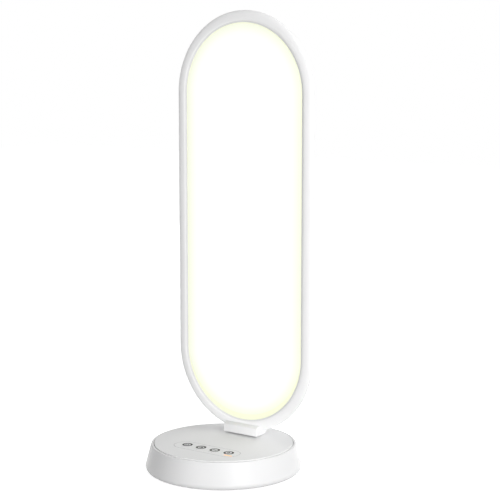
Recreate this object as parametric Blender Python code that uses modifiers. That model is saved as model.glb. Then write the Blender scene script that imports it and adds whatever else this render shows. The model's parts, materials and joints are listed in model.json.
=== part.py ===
"""Capsule-shaped LED panel lamp that tilts on a round weighted base.

Metres, +Z up, the origin on the table under the middle of the base. The light faces -Y.
"""

import math

import bmesh
import bpy
from mathutils import Matrix, Vector

# Driving dimensions
BASE_RADIUS = 0.0700
BASE_HEIGHT = 0.0248
PANEL_RADIUS = 0.0730
PANEL_STRAIGHT = 0.2335
PANEL_SETBACK_SHARE = 0.4857
PANEL_LIFT = 0.0034
NECK_WIDTH = 0.0363
NECK_DEPTH = 0.0174
NECK_LIFT = 0.0012

# Clearances
SEAM = 0.0003
OVERRUN = 0.0010
WELD = 0.00001
FLAT_DEG = 0.5
SHARP_DEG = 35

# Base housing
BASE_TAPER = 0.0054
BASE_EDGE_HEIGHT = 0.0045
BASE_FOOT_INSET = 0.0028
LOWER_ROUND_START_DEG = 18
BASE_STAND = 0.0008
BASE_WALL = 0.0022
BASE_MOUTH_INSET = 0.0040
RIM_WIDTH = 0.0019
RIM_FILLET = 0.0015
RIM_BREAK = 0.0003
LEDGE_WIDTH = 0.0050
LEDGE_THICKNESS = 0.0020
BOSS_RADIUS = 0.0030
BOSS_INSET = 0.0010
BOSS_ANGLES = (45, 135, 225, 315)

# Top panel and the touch keys under it
TOP_PLATE_THICKNESS = 0.0020
TOP_PLATE_GROOVE = 0.0005
TOUCH_ROW_SHARE = 0.3743
TOUCH_PITCH = 0.0151
TOUCH_COUNT = 4
TOUCH_PAD_RADIUS = 0.0040
TOUCH_PAD_HEIGHT = 0.0040
TOUCH_BOARD_WIDTH = 0.0130
TOUCH_BOARD_THICKNESS = 0.0012
TOUCH_POST_INSET = 0.0040
TOUCH_POST_RADIUS = 0.0022
TOUCH_POST_GAP = 0.0040

# Bottom cover, feet and weight
COVER_THICKNESS = 0.0024
FOOT_RADIUS = 0.0050
FOOT_INSET = 0.0120
FOOT_RECESS = 0.0008
FOOT_COUNT = 4
WEIGHT_GAP = 0.0010
WEIGHT_ROOM = 0.0055
WEIGHT_CHAMFER = 0.0005
WEIGHT_SCREW_SHARE = 0.6250

# Control board and power socket
BOARD_LENGTH = 0.0300
BOARD_WIDTH = 0.0140
BOARD_THICKNESS = 0.0016
BOARD_GAP = 0.0030
BOARD_LIFT = 0.0052
BOARD_POST_RADIUS = 0.0024
BOARD_POST_INSET = 0.0035
CHIP_LENGTH = 0.0060
CHIP_HEIGHT = 0.0012
SOCKET_WIDTH = 0.0090
SOCKET_HEIGHT = 0.0032
SOCKET_LENGTH = 0.0074
SOCKET_WALL = 0.0004
SOCKET_BACK = 0.0012
SOCKET_TONGUE_WIDTH = 0.0066
SOCKET_TONGUE_HEIGHT = 0.0007
SOCKET_TONGUE_REVEAL = 0.0010
SOCKET_SETBACK = 0.0014
SOCKET_CORNER = 0.0012

# Hinge
HINGE_CORNER = 0.0045
PIN_RADIUS = 0.0012
PIN_REACH = 0.0002
PIN_HEAD_RADIUS = 0.0022
PIN_HEAD_HEIGHT = 0.0010
NUT_RADIUS = 0.0024
NUT_HEIGHT = 0.0010
KNUCKLE_RADIUS = 0.0025
KNUCKLE_INNER = 0.0034
KNUCKLE_THICKNESS = 0.0020
WASHER_RADIUS = 0.0024
WASHER_THICKNESS = 0.0004
EAR_THICKNESS = 0.0015
EAR_HALF_WIDTH = 0.0016
BRACKET_HALF_WIDTH = 0.0120
BRACKET_FRONT = 0.0100
BRACKET_BACK_SHARE = 0.4500
BRACKET_THICKNESS = 0.0015
BRACKET_SCREW_INSET = 0.0030
TILT_FORWARD_DEG = 3

# Neck block
NECK_WALL = 0.0020
NECK_FRONT_HEIGHT = 0.0074
NECK_SLOPE_HEIGHT = 0.0094
NECK_SLOPE_SINK = 0.0004
NECK_TOP = 0.0141
NECK_CEILING = 0.0086
NECK_CEILING_CHAMFER = 0.0040
NECK_EDGE = 0.0004
NECK_BROW_FILLET = 0.0012
NECK_BACK_FILLET = 0.0008
NECK_COVER_THICKNESS = 0.0015
NECK_COVER_TOP = 0.0124
NECK_COVER_WRAP_DEG = 14
NECK_SCREW_SPREAD = 0.0080
NECK_SCREW_DROP = 0.0021

# Panel frame section, inwards from the outline and back from the front face
FRAME_EDGE_WIDTH = 0.0046
FLAT_WIDTH = 0.0030
LIP_WIDTH = 0.0030
LIP_CHAMFER = 0.0007
LIP_DEPTH = 0.0011
POCKET_LAP = 0.0022
POCKET_REACH = 0.0006
FRAME_WIDEST_DEPTH = 0.0026
FRAME_BACK_INSET = 0.0022
FRAME_BACK_LAP = 0.0002

# Light stack
DIFFUSER_FLANGE = 0.0010
DIFFUSER_STEP = 0.0007
GUIDE_INSET = 0.0024
GUIDE_THICKNESS = 0.0020
REFLECTOR_INSET = 0.0026
REFLECTOR_THICKNESS = 0.0004
STRIP_THICKNESS = 0.0006
STRIP_WIDTH = 0.0026
STRIP_MARGIN = 0.0020
LED_COUNT = 12
LED_HEIGHT = 0.0011
LED_LENGTH = 0.0034
LED_INSET = 0.0004

# Rear cover
WIRING_SPACE = 0.0020
REAR_EDGE_WIDTH = 0.0043
REAR_FLOOR_THICKNESS = 0.0014
REAR_FLOOR_INSET = 0.0002
REAR_FLOOR_LAP = 0.0009
RIB_COUNT = 5
RIB_LENGTH = 0.1000
RIB_THICKNESS = 0.0016
REAR_SCREW_LAP = 0.0034
REAR_SCREW_INSET = 0.0200

# Leads
LEAD_RADIUS = 0.0006
LEAD_TURN = 0.0012
LEAD_CUT = 0.0004
LEAD_WALL_GAP = 0.0001
LEAD_SIDE_GAP = 0.0004
LEAD_RISE = 0.0024
LEAD_LIE = 0.0015
LEAD_HOLE_RADIUS = 0.0012
LEAD_NOTCH_WIDTH = 0.0020
LEAD_NOTCH_DEPTH = 0.0019
STRIP_LEAD_RADIUS = 0.0005
STRIP_LEAD_INSET = 0.0040
STRIP_LEAD_ANGLES = (305, 325, 340)
JUNCTION_LENGTH = 0.0320
JUNCTION_WIDTH = 0.0080
JUNCTION_THICKNESS = 0.0008
JUNCTION_GAP = 0.0007

# Screws: head radius, head height, shank radius, length under the head
COVER_SCREW = (0.0026, 0.0011, 0.0010, 0.0070)
WEIGHT_SCREW = (0.0026, 0.0011, 0.0014, 0.0060)
BOARD_SCREW = (0.0019, 0.0010, 0.0008, 0.0040)
BRACKET_SCREW = (0.0021, 0.0012, 0.0010, 0.0055)
REAR_SCREW = (0.0016, 0.0009, 0.0008, 0.0046)
NECK_SCREW = (0.0013, 0.0008, 0.0006, 0.0042)
SCREW_CLEARANCE = 0.0003
SCREW_FLOOR = 0.0010
SCREW_CROWN_SHARE = 0.35

# Turns about X, Y and Z that point a turned piece along an axis
AXIS_TURNS = {"Z": (0, 0, 0), "-Z": (180, 0, 0), "Y": (-90, 0, 0), "X": (0, 90, 0), "-X": (0, -90, 0)}

# Counts of facets, and the most of an edge that a fillet takes
ROUND_STEPS = 60
PANEL_ARC_STEPS = 20
CURVE_STEPS = 5
SMALL_STEPS = 16
SCREW_STEPS = 10
NUT_SIDES = 6
BEND_STEPS = 3
FILLET_EDGE_SHARE = 0.49

# Base, worked out from the sizes above
BASE_TOP_RADIUS = BASE_RADIUS - BASE_TAPER
BASE_FOOT_RADIUS = BASE_RADIUS - BASE_FOOT_INSET
BASE_MOUTH_RADIUS = BASE_RADIUS - BASE_MOUTH_INSET
RIM_INNER = BASE_TOP_RADIUS - RIM_WIDTH
TOP_PLATE_RADIUS = RIM_INNER - TOP_PLATE_GROOVE
PLATE_UNDERSIDE = BASE_HEIGHT - TOP_PLATE_THICKNESS
LEDGE_INNER = TOP_PLATE_RADIUS - LEDGE_WIDTH
LEDGE_TOP = PLATE_UNDERSIDE - SEAM
LEDGE_UNDERSIDE = LEDGE_TOP - LEDGE_THICKNESS
BOSS_CIRCLE = LEDGE_INNER + BOSS_RADIUS + BOSS_INSET
PAD_TOP = PLATE_UNDERSIDE - SEAM
PAD_BOTTOM = PAD_TOP - TOUCH_PAD_HEIGHT
TOUCH_BOARD_TOP = PAD_BOTTOM - SEAM
TOUCH_BOARD_BOTTOM = TOUCH_BOARD_TOP - TOUCH_BOARD_THICKNESS
TOUCH_ROW_Y = -TOUCH_ROW_SHARE * BASE_RADIUS
TOUCH_ROW_HALF = TOUCH_PITCH * (TOUCH_COUNT - 1) / 2
TOUCH_POST_SPREAD = TOUCH_ROW_HALF + TOUCH_PAD_RADIUS + TOUCH_POST_GAP + TOUCH_POST_RADIUS
TOUCH_BOARD_LENGTH = 2 * (TOUCH_POST_SPREAD + TOUCH_POST_INSET)
COVER_TOP = BASE_STAND + COVER_THICKNESS
FOOT_CIRCLE = BASE_MOUTH_RADIUS - FOOT_INSET
BOARD_FRONT = BASE_MOUTH_RADIUS - BOARD_GAP - BOARD_WIDTH
BOARD_POST_SPREAD = BOARD_LENGTH / 2 - BOARD_POST_INSET
BOARD_TOP = BASE_STAND + BOARD_LIFT + BOARD_THICKNESS
SOCKET_Z = BOARD_TOP + SEAM + SOCKET_HEIGHT / 2
WEIGHT_RADIUS = BOARD_FRONT - WEIGHT_GAP
WEIGHT_TOP = TOUCH_BOARD_BOTTOM - WEIGHT_ROOM
WEIGHT_SCREW_SPREAD = WEIGHT_SCREW_SHARE * WEIGHT_RADIUS

# Panel depths, from the frame's front face to the back of the rear cover
FLANGE_DEPTH = LIP_DEPTH + SEAM
GUIDE_DEPTH = FLANGE_DEPTH + DIFFUSER_FLANGE + SEAM
REFLECTOR_DEPTH = GUIDE_DEPTH + GUIDE_THICKNESS + SEAM
STACK_DEPTH = REFLECTOR_DEPTH + REFLECTOR_THICKNESS
FRAME_DEPTH = STACK_DEPTH + FRAME_BACK_LAP
REAR_DEPTH = FRAME_DEPTH + SEAM
REAR_FLOOR_DEPTH = STACK_DEPTH + WIRING_SPACE
PANEL_DEPTH = REAR_FLOOR_DEPTH + REAR_FLOOR_THICKNESS + REAR_FLOOR_INSET

# Panel, worked out from the sizes above
PANEL_SETBACK = PANEL_SETBACK_SHARE * BASE_RADIUS
PANEL_FRONT = PANEL_SETBACK - PANEL_DEPTH / 2
FRAME_BACK = PANEL_FRONT + FRAME_DEPTH
REAR_FRONT = PANEL_FRONT + REAR_DEPTH
PANEL_BACK = PANEL_FRONT + PANEL_DEPTH
REAR_FLOOR_FRONT = PANEL_FRONT + REAR_FLOOR_DEPTH
LOWER_ARC_Z = BASE_HEIGHT + PANEL_LIFT + PANEL_RADIUS
UPPER_ARC_Z = LOWER_ARC_Z + PANEL_STRAIGHT
FLAT_OUTER = PANEL_RADIUS - FRAME_EDGE_WIDTH
FLAT_INNER = FLAT_OUTER - FLAT_WIDTH
LIP_RADIUS = FLAT_INNER - LIP_WIDTH
POCKET_RADIUS = LIP_RADIUS + POCKET_LAP
FRAME_BACK_RADIUS = PANEL_RADIUS - FRAME_BACK_INSET
REAR_SCREW_RADIUS = POCKET_RADIUS + REAR_SCREW_LAP

# Neck and hinge, worked out from the sizes above
NECK_HALF = NECK_WIDTH / 2
NECK_BOTTOM = BASE_HEIGHT + NECK_LIFT
NECK_FRONT = PANEL_SETBACK - NECK_DEPTH / 2
NECK_BACK = PANEL_SETBACK + NECK_DEPTH / 2
NECK_COVER_SEAT = NECK_BACK - NECK_COVER_THICKNESS - SEAM
HINGE = Vector((0, NECK_BACK - HINGE_CORNER, NECK_BOTTOM + HINGE_CORNER))
KNUCKLE_OUTER = KNUCKLE_INNER + KNUCKLE_THICKNESS
EAR_INNER = KNUCKLE_OUTER + SEAM + WASHER_THICKNESS + SEAM
EAR_OUTER = EAR_INNER + EAR_THICKNESS
PIN_HEAD = EAR_OUTER + SEAM
EAR_BACK = HINGE.y + EAR_HALF_WIDTH
BRACKET_BACK = EAR_BACK + (WEIGHT_RADIUS - EAR_BACK) * BRACKET_BACK_SHARE
LEAD_OFFSET = NECK_HALF - NECK_WALL - LEAD_SIDE_GAP - LEAD_RADIUS
PANEL_LEAD_X = -PIN_HEAD - PIN_HEAD_HEIGHT - LEAD_TURN - SEAM
JUNCTION_BOTTOM = NECK_BOTTOM + NECK_TOP + JUNCTION_GAP


# Tools for shapes

def collection(name):
    made = bpy.data.collections.new(name)
    bpy.context.scene.collection.children.link(made)
    return made


def material(name, colour, roughness, metallic=0.0, glow=0.0):
    made = bpy.data.materials.new(name)
    made.use_nodes = True
    shader = made.node_tree.nodes["Principled BSDF"]
    shader.inputs["Base Color"].default_value = (*colour, 1.0)
    shader.inputs["Roughness"].default_value = roughness
    shader.inputs["Metallic"].default_value = metallic
    shader.inputs["Emission Color"].default_value = (*colour, 1.0)
    shader.inputs["Emission Strength"].default_value = glow
    made.diffuse_color = (*colour, 1.0)
    return made


def arc(centre, radius, start_deg, end_deg, steps=CURVE_STEPS, depth_radius=None):
    """Points of a round or elliptical arc, both ends included."""
    other = radius if depth_radius is None else depth_radius
    angles = [math.radians(start_deg + (end_deg - start_deg) * i / steps) for i in range(steps + 1)]
    return [(centre[0] + radius * math.cos(a), centre[1] + other * math.sin(a)) for a in angles]


def rounded(corners, steps=BEND_STEPS):
    """A closed outline of (x, y, fillet) corners, with the fillets as arcs."""
    points = []
    for i, (x, y, fillet) in enumerate(corners):
        corner = Vector((x, y))
        before = Vector(corners[i - 1][:2]) - corner
        after = Vector(corners[(i + 1) % len(corners)][:2]) - corner
        if not fillet:
            points.append((x, y))
            continue
        half = before.angle(after) / 2
        longest = FILLET_EDGE_SHARE * min(before.length, after.length)
        tangent = min(fillet / math.tan(half), longest)
        radius = tangent * math.tan(half)
        middle = (before.normalized() + after.normalized()).normalized()
        centre = corner + middle * (radius / math.sin(half))
        first = corner + before.normalized() * tangent - centre
        last = corner + after.normalized() * tangent - centre
        sweep = first.angle_signed(last)
        for k in range(steps + 1):
            spoke = Matrix.Rotation(-sweep * k / steps, 2) @ first
            points.append(tuple(centre + spoke))
    return points


def clean_mesh(work, name):
    bmesh.ops.remove_doubles(work, verts=work.verts, dist=WELD)
    bmesh.ops.recalc_face_normals(work, faces=work.faces)
    mesh = bpy.data.meshes.new(name)
    work.to_mesh(mesh)
    work.free()
    mesh.shade_smooth()
    mesh.set_sharp_from_angle(angle=math.radians(SHARP_DEG))
    return mesh


def place(name, mesh, location=(0, 0, 0)):
    made = bpy.data.objects.new(name, mesh)
    made.location = location
    SCENE_PARTS.objects.link(made)
    return made


def outline_solid(name, points, low, high, across):
    """A flat outline given a thickness from low to high: across Y it lies in XZ, across X in YZ."""
    curve = bpy.data.curves.new(name, "CURVE")
    curve.dimensions = "2D"
    curve.fill_mode = "BOTH"
    curve.extrude = (high - low) / 2
    add_poly_spline(curve, [(x, y, 0) for x, y in points]).use_cyclic_u = True
    guide = bpy.data.objects.new(name, curve)
    SCENE_PARTS.objects.link(guide)
    middle = (low + high) / 2
    upright = Matrix.Rotation(math.radians(90), 4, "X")
    if across == "Y":
        guide.matrix_world = Matrix.Translation((0, middle, 0)) @ upright
    else:
        turn = Matrix.Rotation(math.radians(90), 4, "Z")
        guide.matrix_world = Matrix.Translation((middle, 0, 0)) @ turn @ upright
    return as_mesh(guide)


def add_poly_spline(curve, points):
    spline = curve.splines.new("POLY")
    spline.points.add(len(points) - 1)
    for point, co in zip(spline.points, points):
        point.co = (*co, 1)
    return spline


def as_mesh(guide):
    """The mesh of a curve object, with its caps welded, in place of the curve."""
    bpy.context.view_layer.update()
    graph = bpy.context.evaluated_depsgraph_get()
    mesh = bpy.data.meshes.new_from_object(guide.evaluated_get(graph))
    mesh.transform(guide.matrix_world)
    name = guide.name
    curve = guide.data
    bpy.data.objects.remove(guide)
    bpy.data.curves.remove(curve)
    work = bmesh.new()
    work.from_mesh(mesh)
    bpy.data.meshes.remove(mesh)
    bmesh.ops.remove_doubles(work, verts=work.verts, dist=WELD)
    bmesh.ops.dissolve_limit(work, angle_limit=math.radians(FLAT_DEG), verts=work.verts, edges=work.edges)
    return place(name, clean_mesh(work, name))


def tube(name, route, radius):
    """A lead: a round tube along a smooth curve through the route's points."""
    curve = bpy.data.curves.new(name, "CURVE")
    curve.dimensions = "3D"
    curve.bevel_depth = radius
    curve.bevel_resolution = 2
    curve.use_fill_caps = True
    add_poly_spline(curve, smooth_route([Vector(point) for point in route]))
    guide = bpy.data.objects.new(name, curve)
    SCENE_PARTS.objects.link(guide)
    return as_mesh(guide)


def smooth_route(points):
    """Catmull-Rom points through the given ones, straight on at both ends."""
    ends = [2 * points[0] - points[1], *points, 2 * points[-1] - points[-2]]
    smooth = [points[0]]
    for a, b, c, d in zip(ends, ends[1:], ends[2:], ends[3:]):
        for k in range(1, BEND_STEPS + 1):
            t = k / BEND_STEPS
            bend = (2 * a - 5 * b + 4 * c - d) * t * t + (3 * b - a - 3 * c + d) * t ** 3
            smooth.append((2 * b + (c - a) * t + bend) / 2)
    return smooth


def turned(name, profile, steps=ROUND_STEPS, axis="Z", location=(0, 0, 0), closed=True):
    """A profile of (radius, height) points turned round the axis with a Screw modifier."""
    mesh = bpy.data.meshes.new(name)
    ends = len(profile) if closed else len(profile) - 1
    edges = [(i, (i + 1) % len(profile)) for i in range(ends)]
    mesh.from_pydata([(radius, 0, height) for radius, height in profile], edges, [])
    made = place(name, mesh, location)
    made.rotation_euler = [math.radians(angle) for angle in AXIS_TURNS[axis]]
    screw = made.modifiers.new("Turn", "SCREW")
    screw.steps = steps
    screw.render_steps = steps
    screw.use_merge_vertices = True
    screw.merge_threshold = WELD
    return made


def cylinder(name, radius, low, high, centre=(0, 0), steps=SMALL_STEPS, axis="Z"):
    """A round bar from low to high along the axis."""
    middle = (low + high) / 2
    if axis == "Z":
        location, turn = Vector((*centre, middle)), Matrix()
    elif axis == "Y":
        location, turn = Vector((centre[0], middle, centre[1])), Matrix.Rotation(math.radians(-90), 4, "X")
    else:
        location, turn = Vector((middle, *centre)), Matrix.Rotation(math.radians(90), 4, "Y")
    work = bmesh.new()
    bmesh.ops.create_cone(
        work, cap_ends=True, segments=steps, radius1=radius, radius2=radius, depth=high - low,
        matrix=Matrix.Translation(location) @ turn,
    )
    return place(name, clean_mesh(work, name))


def block(name, low, high):
    """A box between two corners."""
    work = bmesh.new()
    bmesh.ops.create_cube(work, size=1)
    size = Vector(high) - Vector(low)
    bmesh.ops.scale(work, vec=size, verts=work.verts)
    bmesh.ops.translate(work, vec=Vector(low) + size / 2, verts=work.verts)
    return place(name, clean_mesh(work, name))


def side_block(name, side, x, y, z):
    """A box between two distances from the middle plane, on the side that the sign gives."""
    near, far = sorted((side * x[0], side * x[1]))
    return block(name, (near, y[0], z[0]), (far, y[1], z[1]))


def capsule_outline(radius):
    """The panel's outline at this radius, as (x, z) points."""
    upper = arc((0, UPPER_ARC_Z), radius, 0, 180, PANEL_ARC_STEPS)
    lower = arc((0, LOWER_ARC_Z), radius, 180, 360, PANEL_ARC_STEPS)
    return upper + lower


def capsule_plate(name, radius, front, back):
    return outline_solid(name, capsule_outline(radius), front, back, "Y")


def capsule_ring(name, section):
    """A closed section of (radius, depth) points carried round the panel's outline."""
    work = bmesh.new()
    verts = [work.verts.new((radius, PANEL_FRONT + depth, UPPER_ARC_Z)) for radius, depth in section]
    loop = [work.edges.new(pair) for pair in zip(verts, verts[1:] + verts[:1])]
    straight = Vector((0, 0, PANEL_STRAIGHT))
    for centre_z, run in ((UPPER_ARC_Z, -straight), (LOWER_ARC_Z, straight)):
        spun = bmesh.ops.spin(
            work, geom=loop, cent=(0, 0, centre_z), axis=(0, -1, 0),
            angle=math.radians(180), steps=PANEL_ARC_STEPS,
        )
        ends = [item for item in spun["geom_last"] if isinstance(item, bmesh.types.BMEdge)]
        drawn = bmesh.ops.extrude_edge_only(work, edges=ends)["geom"]
        moved = [item for item in drawn if isinstance(item, bmesh.types.BMVert)]
        bmesh.ops.translate(work, vec=run, verts=moved)
        loop = [item for item in drawn if isinstance(item, bmesh.types.BMEdge)]
    return place(name, clean_mesh(work, name))


def boolean(target, operation, tools):
    """Cuts the tools from the target, or joins them to it, and puts them away."""
    for tool in tools:
        modifier = target.modifiers.new(tool.name, "BOOLEAN")
        modifier.operation = operation
        modifier.solver = "EXACT"
        modifier.object = tool
        tool.hide_render = True
        tool.display_type = "WIRE"
        SCENE_PARTS.objects.unlink(tool)
        CUTTERS.objects.link(tool)


def finish(piece, look, parent=None):
    """Gives a piece its material and, where it moves, its joint's empty as parent."""
    piece.data.materials.append(look)
    if parent:
        piece.parent = parent
        piece.location -= parent.location


def screw_profile(head_radius, head_height, shank_radius, length):
    crown = head_height * SCREW_CROWN_SHARE
    tip = shank_radius
    return [
        (0, head_height),
        (head_radius - crown, head_height),
        (head_radius, head_height - crown),
        (head_radius, 0),
        (shank_radius, 0),
        (shank_radius, tip - length),
        (0, -length),
    ]


def screw(name, size, seat, axis, parent=None):
    """A screw whose head rests at the seat and whose shank runs back along the axis."""
    made = turned(name, screw_profile(*size), SCREW_STEPS, axis, seat, closed=False)
    finish(made, STEEL, parent)


def polar(radius, angle_deg):
    angle = math.radians(angle_deg)
    return radius * math.cos(angle), radius * math.sin(angle)


# Base

def wall_radius(height):
    """The housing's outer radius on its sloping wall."""
    rise = (height - BASE_EDGE_HEIGHT) / (BASE_HEIGHT - BASE_EDGE_HEIGHT)
    return BASE_RADIUS + (BASE_TOP_RADIUS - BASE_RADIUS) * rise


def make_base_housing():
    slope = (BASE_RADIUS - BASE_TOP_RADIUS) / (BASE_HEIGHT - BASE_EDGE_HEIGHT)
    knee = BASE_EDGE_HEIGHT + (BASE_RADIUS - BASE_WALL - BASE_MOUTH_RADIUS) / slope
    lower_round = arc(
        (BASE_FOOT_RADIUS, BASE_EDGE_HEIGHT), BASE_RADIUS - BASE_FOOT_RADIUS, LOWER_ROUND_START_DEG, -90,
        depth_radius=BASE_EDGE_HEIGHT - BASE_STAND,
    )
    upper = rounded([
        (RIM_INNER, LEDGE_TOP, 0),
        (RIM_INNER, BASE_HEIGHT, RIM_BREAK),
        (BASE_TOP_RADIUS, BASE_HEIGHT, RIM_FILLET),
        (*lower_round[0], 0),
    ])
    profile = [
        *upper[1:],
        *lower_round[1:],
        (BASE_MOUTH_RADIUS, BASE_STAND),
        (BASE_MOUTH_RADIUS, knee),
        (wall_radius(LEDGE_UNDERSIDE) - BASE_WALL, LEDGE_UNDERSIDE),
        (LEDGE_INNER, LEDGE_UNDERSIDE),
        (LEDGE_INNER, LEDGE_TOP),
        (RIM_INNER, LEDGE_TOP),
    ]
    housing = turned("base_housing", profile)
    boss_top = LEDGE_TOP - LEDGE_THICKNESS / 2
    pilot = COVER_SCREW[2] + SCREW_CLEARANCE
    places = [polar(BOSS_CIRCLE, angle) for angle in BOSS_ANGLES]
    boolean(housing, "UNION", [
        cylinder(f"cover_boss_{i}", BOSS_RADIUS, COVER_TOP + SEAM, boss_top, at)
        for i, at in enumerate(places, 1)
    ])
    boolean(housing, "DIFFERENCE", [
        cylinder(f"cover_pilot_{i}", pilot, BASE_STAND, cover_screw_seat() + COVER_SCREW[3] + OVERRUN, at)
        for i, at in enumerate(places, 1)
    ])
    reach = BASE_RADIUS + OVERRUN
    mouth = block(
        "socket_mouth",
        (-SOCKET_WIDTH / 2 - SEAM, BASE_MOUTH_RADIUS - BASE_WALL, SOCKET_Z - SOCKET_HEIGHT / 2 - SEAM),
        (SOCKET_WIDTH / 2 + SEAM, reach, SOCKET_Z + SOCKET_HEIGHT / 2 + SEAM),
    )
    boolean(housing, "DIFFERENCE", [mouth])
    finish(housing, WHITE)


def make_top_panel():
    plate = cylinder("top_panel", TOP_PLATE_RADIUS, PLATE_UNDERSIDE, BASE_HEIGHT, steps=ROUND_STEPS)
    posts = [
        cylinder(f"touch_post_{i}", TOUCH_POST_RADIUS, TOUCH_BOARD_TOP + SEAM,
                 BASE_HEIGHT - TOP_PLATE_THICKNESS / 2, (side * TOUCH_POST_SPREAD, TOUCH_ROW_Y))
        for i, side in enumerate((-1, 1), 1)
    ]
    boolean(plate, "UNION", posts)
    pilot = BOARD_SCREW[2] + SCREW_CLEARANCE
    below = TOUCH_BOARD_TOP - OVERRUN
    holes = [
        cylinder(f"touch_pilot_{i}", pilot, below, PLATE_UNDERSIDE, (side * TOUCH_POST_SPREAD, TOUCH_ROW_Y))
        for i, side in enumerate((-1, 1), 1)
    ]
    half = EAR_HALF_WIDTH + SEAM
    for i, side in enumerate((-1, 1), 1):
        holes.append(side_block(
            f"ear_slot_{i}", side, (EAR_INNER - SEAM, EAR_OUTER + SEAM), (HINGE.y - half, HINGE.y + half),
            (PLATE_UNDERSIDE - OVERRUN, BASE_HEIGHT + OVERRUN),
        ))
    holes.append(cylinder(
        "lead_hole", LEAD_HOLE_RADIUS, PLATE_UNDERSIDE - OVERRUN, BASE_HEIGHT + OVERRUN,
        (-LEAD_OFFSET, HINGE.y),
    ))
    boolean(plate, "DIFFERENCE", holes)
    finish(plate, WHITE)


def make_touch_parts():
    board = block(
        "touch_board",
        (-TOUCH_BOARD_LENGTH / 2, TOUCH_ROW_Y - TOUCH_BOARD_WIDTH / 2, TOUCH_BOARD_BOTTOM),
        (TOUCH_BOARD_LENGTH / 2, TOUCH_ROW_Y + TOUCH_BOARD_WIDTH / 2, TOUCH_BOARD_TOP),
    )
    clear = BOARD_SCREW[2] + SCREW_CLEARANCE
    places = [(side * TOUCH_POST_SPREAD, TOUCH_ROW_Y) for side in (-1, 1)]
    boolean(board, "DIFFERENCE", [
        cylinder(f"touch_hole_{i}", clear, TOUCH_BOARD_BOTTOM - OVERRUN, TOUCH_BOARD_TOP + OVERRUN, at)
        for i, at in enumerate(places, 1)
    ])
    finish(board, BOARD_GREEN)
    for i, (x, y) in enumerate(places, 1):
        screw(f"touch_board_screw_{i}", BOARD_SCREW, (x, y, TOUCH_BOARD_BOTTOM - SEAM), "-Z")
    for i in range(TOUCH_COUNT):
        at = (TOUCH_PITCH * i - TOUCH_ROW_HALF, TOUCH_ROW_Y)
        finish(cylinder(f"touch_pad_{i + 1}", TOUCH_PAD_RADIUS, PAD_BOTTOM, PAD_TOP, at), FOAM)


def make_bottom_cover():
    radius = BASE_MOUTH_RADIUS - SEAM
    cover = cylinder("bottom_cover", radius, BASE_STAND, COVER_TOP, steps=ROUND_STEPS)
    board_posts = [
        cylinder(f"board_post_{i}", BOARD_POST_RADIUS, COVER_TOP - COVER_THICKNESS / 2,
                 BASE_STAND + BOARD_LIFT - SEAM, board_post_place(side))
        for i, side in enumerate((-1, 1), 1)
    ]
    boolean(cover, "UNION", board_posts)
    seat = cover_screw_seat() + SEAM
    seats = [(COVER_SCREW, polar(BOSS_CIRCLE, angle)) for angle in BOSS_ANGLES]
    seats += [(WEIGHT_SCREW, at) for at in weight_screw_places()]
    holes = []
    for i, (size, at) in enumerate(seats, 1):
        head = size[0] + SCREW_CLEARANCE
        shank = size[2] + SCREW_CLEARANCE
        holes.append(cylinder(f"cover_sink_{i}", head, BASE_STAND - OVERRUN, seat, at))
        holes.append(cylinder(f"cover_hole_{i}", shank, BASE_STAND - OVERRUN, COVER_TOP + OVERRUN, at))
    for i in range(FOOT_COUNT):
        at = polar(FOOT_CIRCLE, foot_angle(i))
        holes.append(cylinder(
            f"foot_sink_{i + 1}", FOOT_RADIUS + SEAM, BASE_STAND - OVERRUN, BASE_STAND + FOOT_RECESS, at,
        ))
    pilot = BOARD_SCREW[2] + SCREW_CLEARANCE
    top = BASE_STAND + BOARD_LIFT + OVERRUN
    for i, side in enumerate((-1, 1), 1):
        at = board_post_place(side)
        holes.append(cylinder(f"board_pilot_{i}", pilot, BASE_STAND + FOOT_RECESS, top, at))
    boolean(cover, "DIFFERENCE", holes)
    finish(cover, MATT_WHITE)


def cover_screw_seat():
    """The height of the underside of a screw head sunk in the bottom cover."""
    return COVER_TOP - SCREW_FLOOR - SEAM


def board_post_place(side):
    return side * BOARD_POST_SPREAD, BOARD_FRONT + BOARD_POST_INSET


def weight_screw_places():
    return [(-WEIGHT_SCREW_SPREAD, 0), (WEIGHT_SCREW_SPREAD, 0)]


def foot_angle(index):
    return index * 360 / FOOT_COUNT


def make_base_fittings():
    for i, angle in enumerate(BOSS_ANGLES, 1):
        x, y = polar(BOSS_CIRCLE, angle)
        screw(f"cover_screw_{i}", COVER_SCREW, (x, y, cover_screw_seat()), "-Z")
    for i in range(FOOT_COUNT):
        at = polar(FOOT_CIRCLE, foot_angle(i))
        foot = cylinder(f"foot_{i + 1}", FOOT_RADIUS, 0, BASE_STAND + FOOT_RECESS - SEAM, at)
        finish(foot, RUBBER)
    low = COVER_TOP + SEAM
    weight = cylinder("weight_plate", WEIGHT_RADIUS, low, WEIGHT_TOP, steps=ROUND_STEPS)
    bevel = weight.modifiers.new("Chamfer", "BEVEL")
    bevel.width = WEIGHT_CHAMFER
    bevel.segments = 1
    holes = [(BRACKET_SCREW[2], at) for at in bracket_screw_places()]
    holes += [(WEIGHT_SCREW[2], at) for at in weight_screw_places()]
    boolean(weight, "DIFFERENCE", [
        cylinder(f"weight_bore_{i}", shank + SCREW_CLEARANCE, low - OVERRUN, WEIGHT_TOP + OVERRUN, at)
        for i, (shank, at) in enumerate(holes, 1)
    ])
    finish(weight, STEEL)
    for i, (x, y) in enumerate(weight_screw_places(), 1):
        screw(f"weight_screw_{i}", WEIGHT_SCREW, (x, y, cover_screw_seat()), "-Z")


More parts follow.
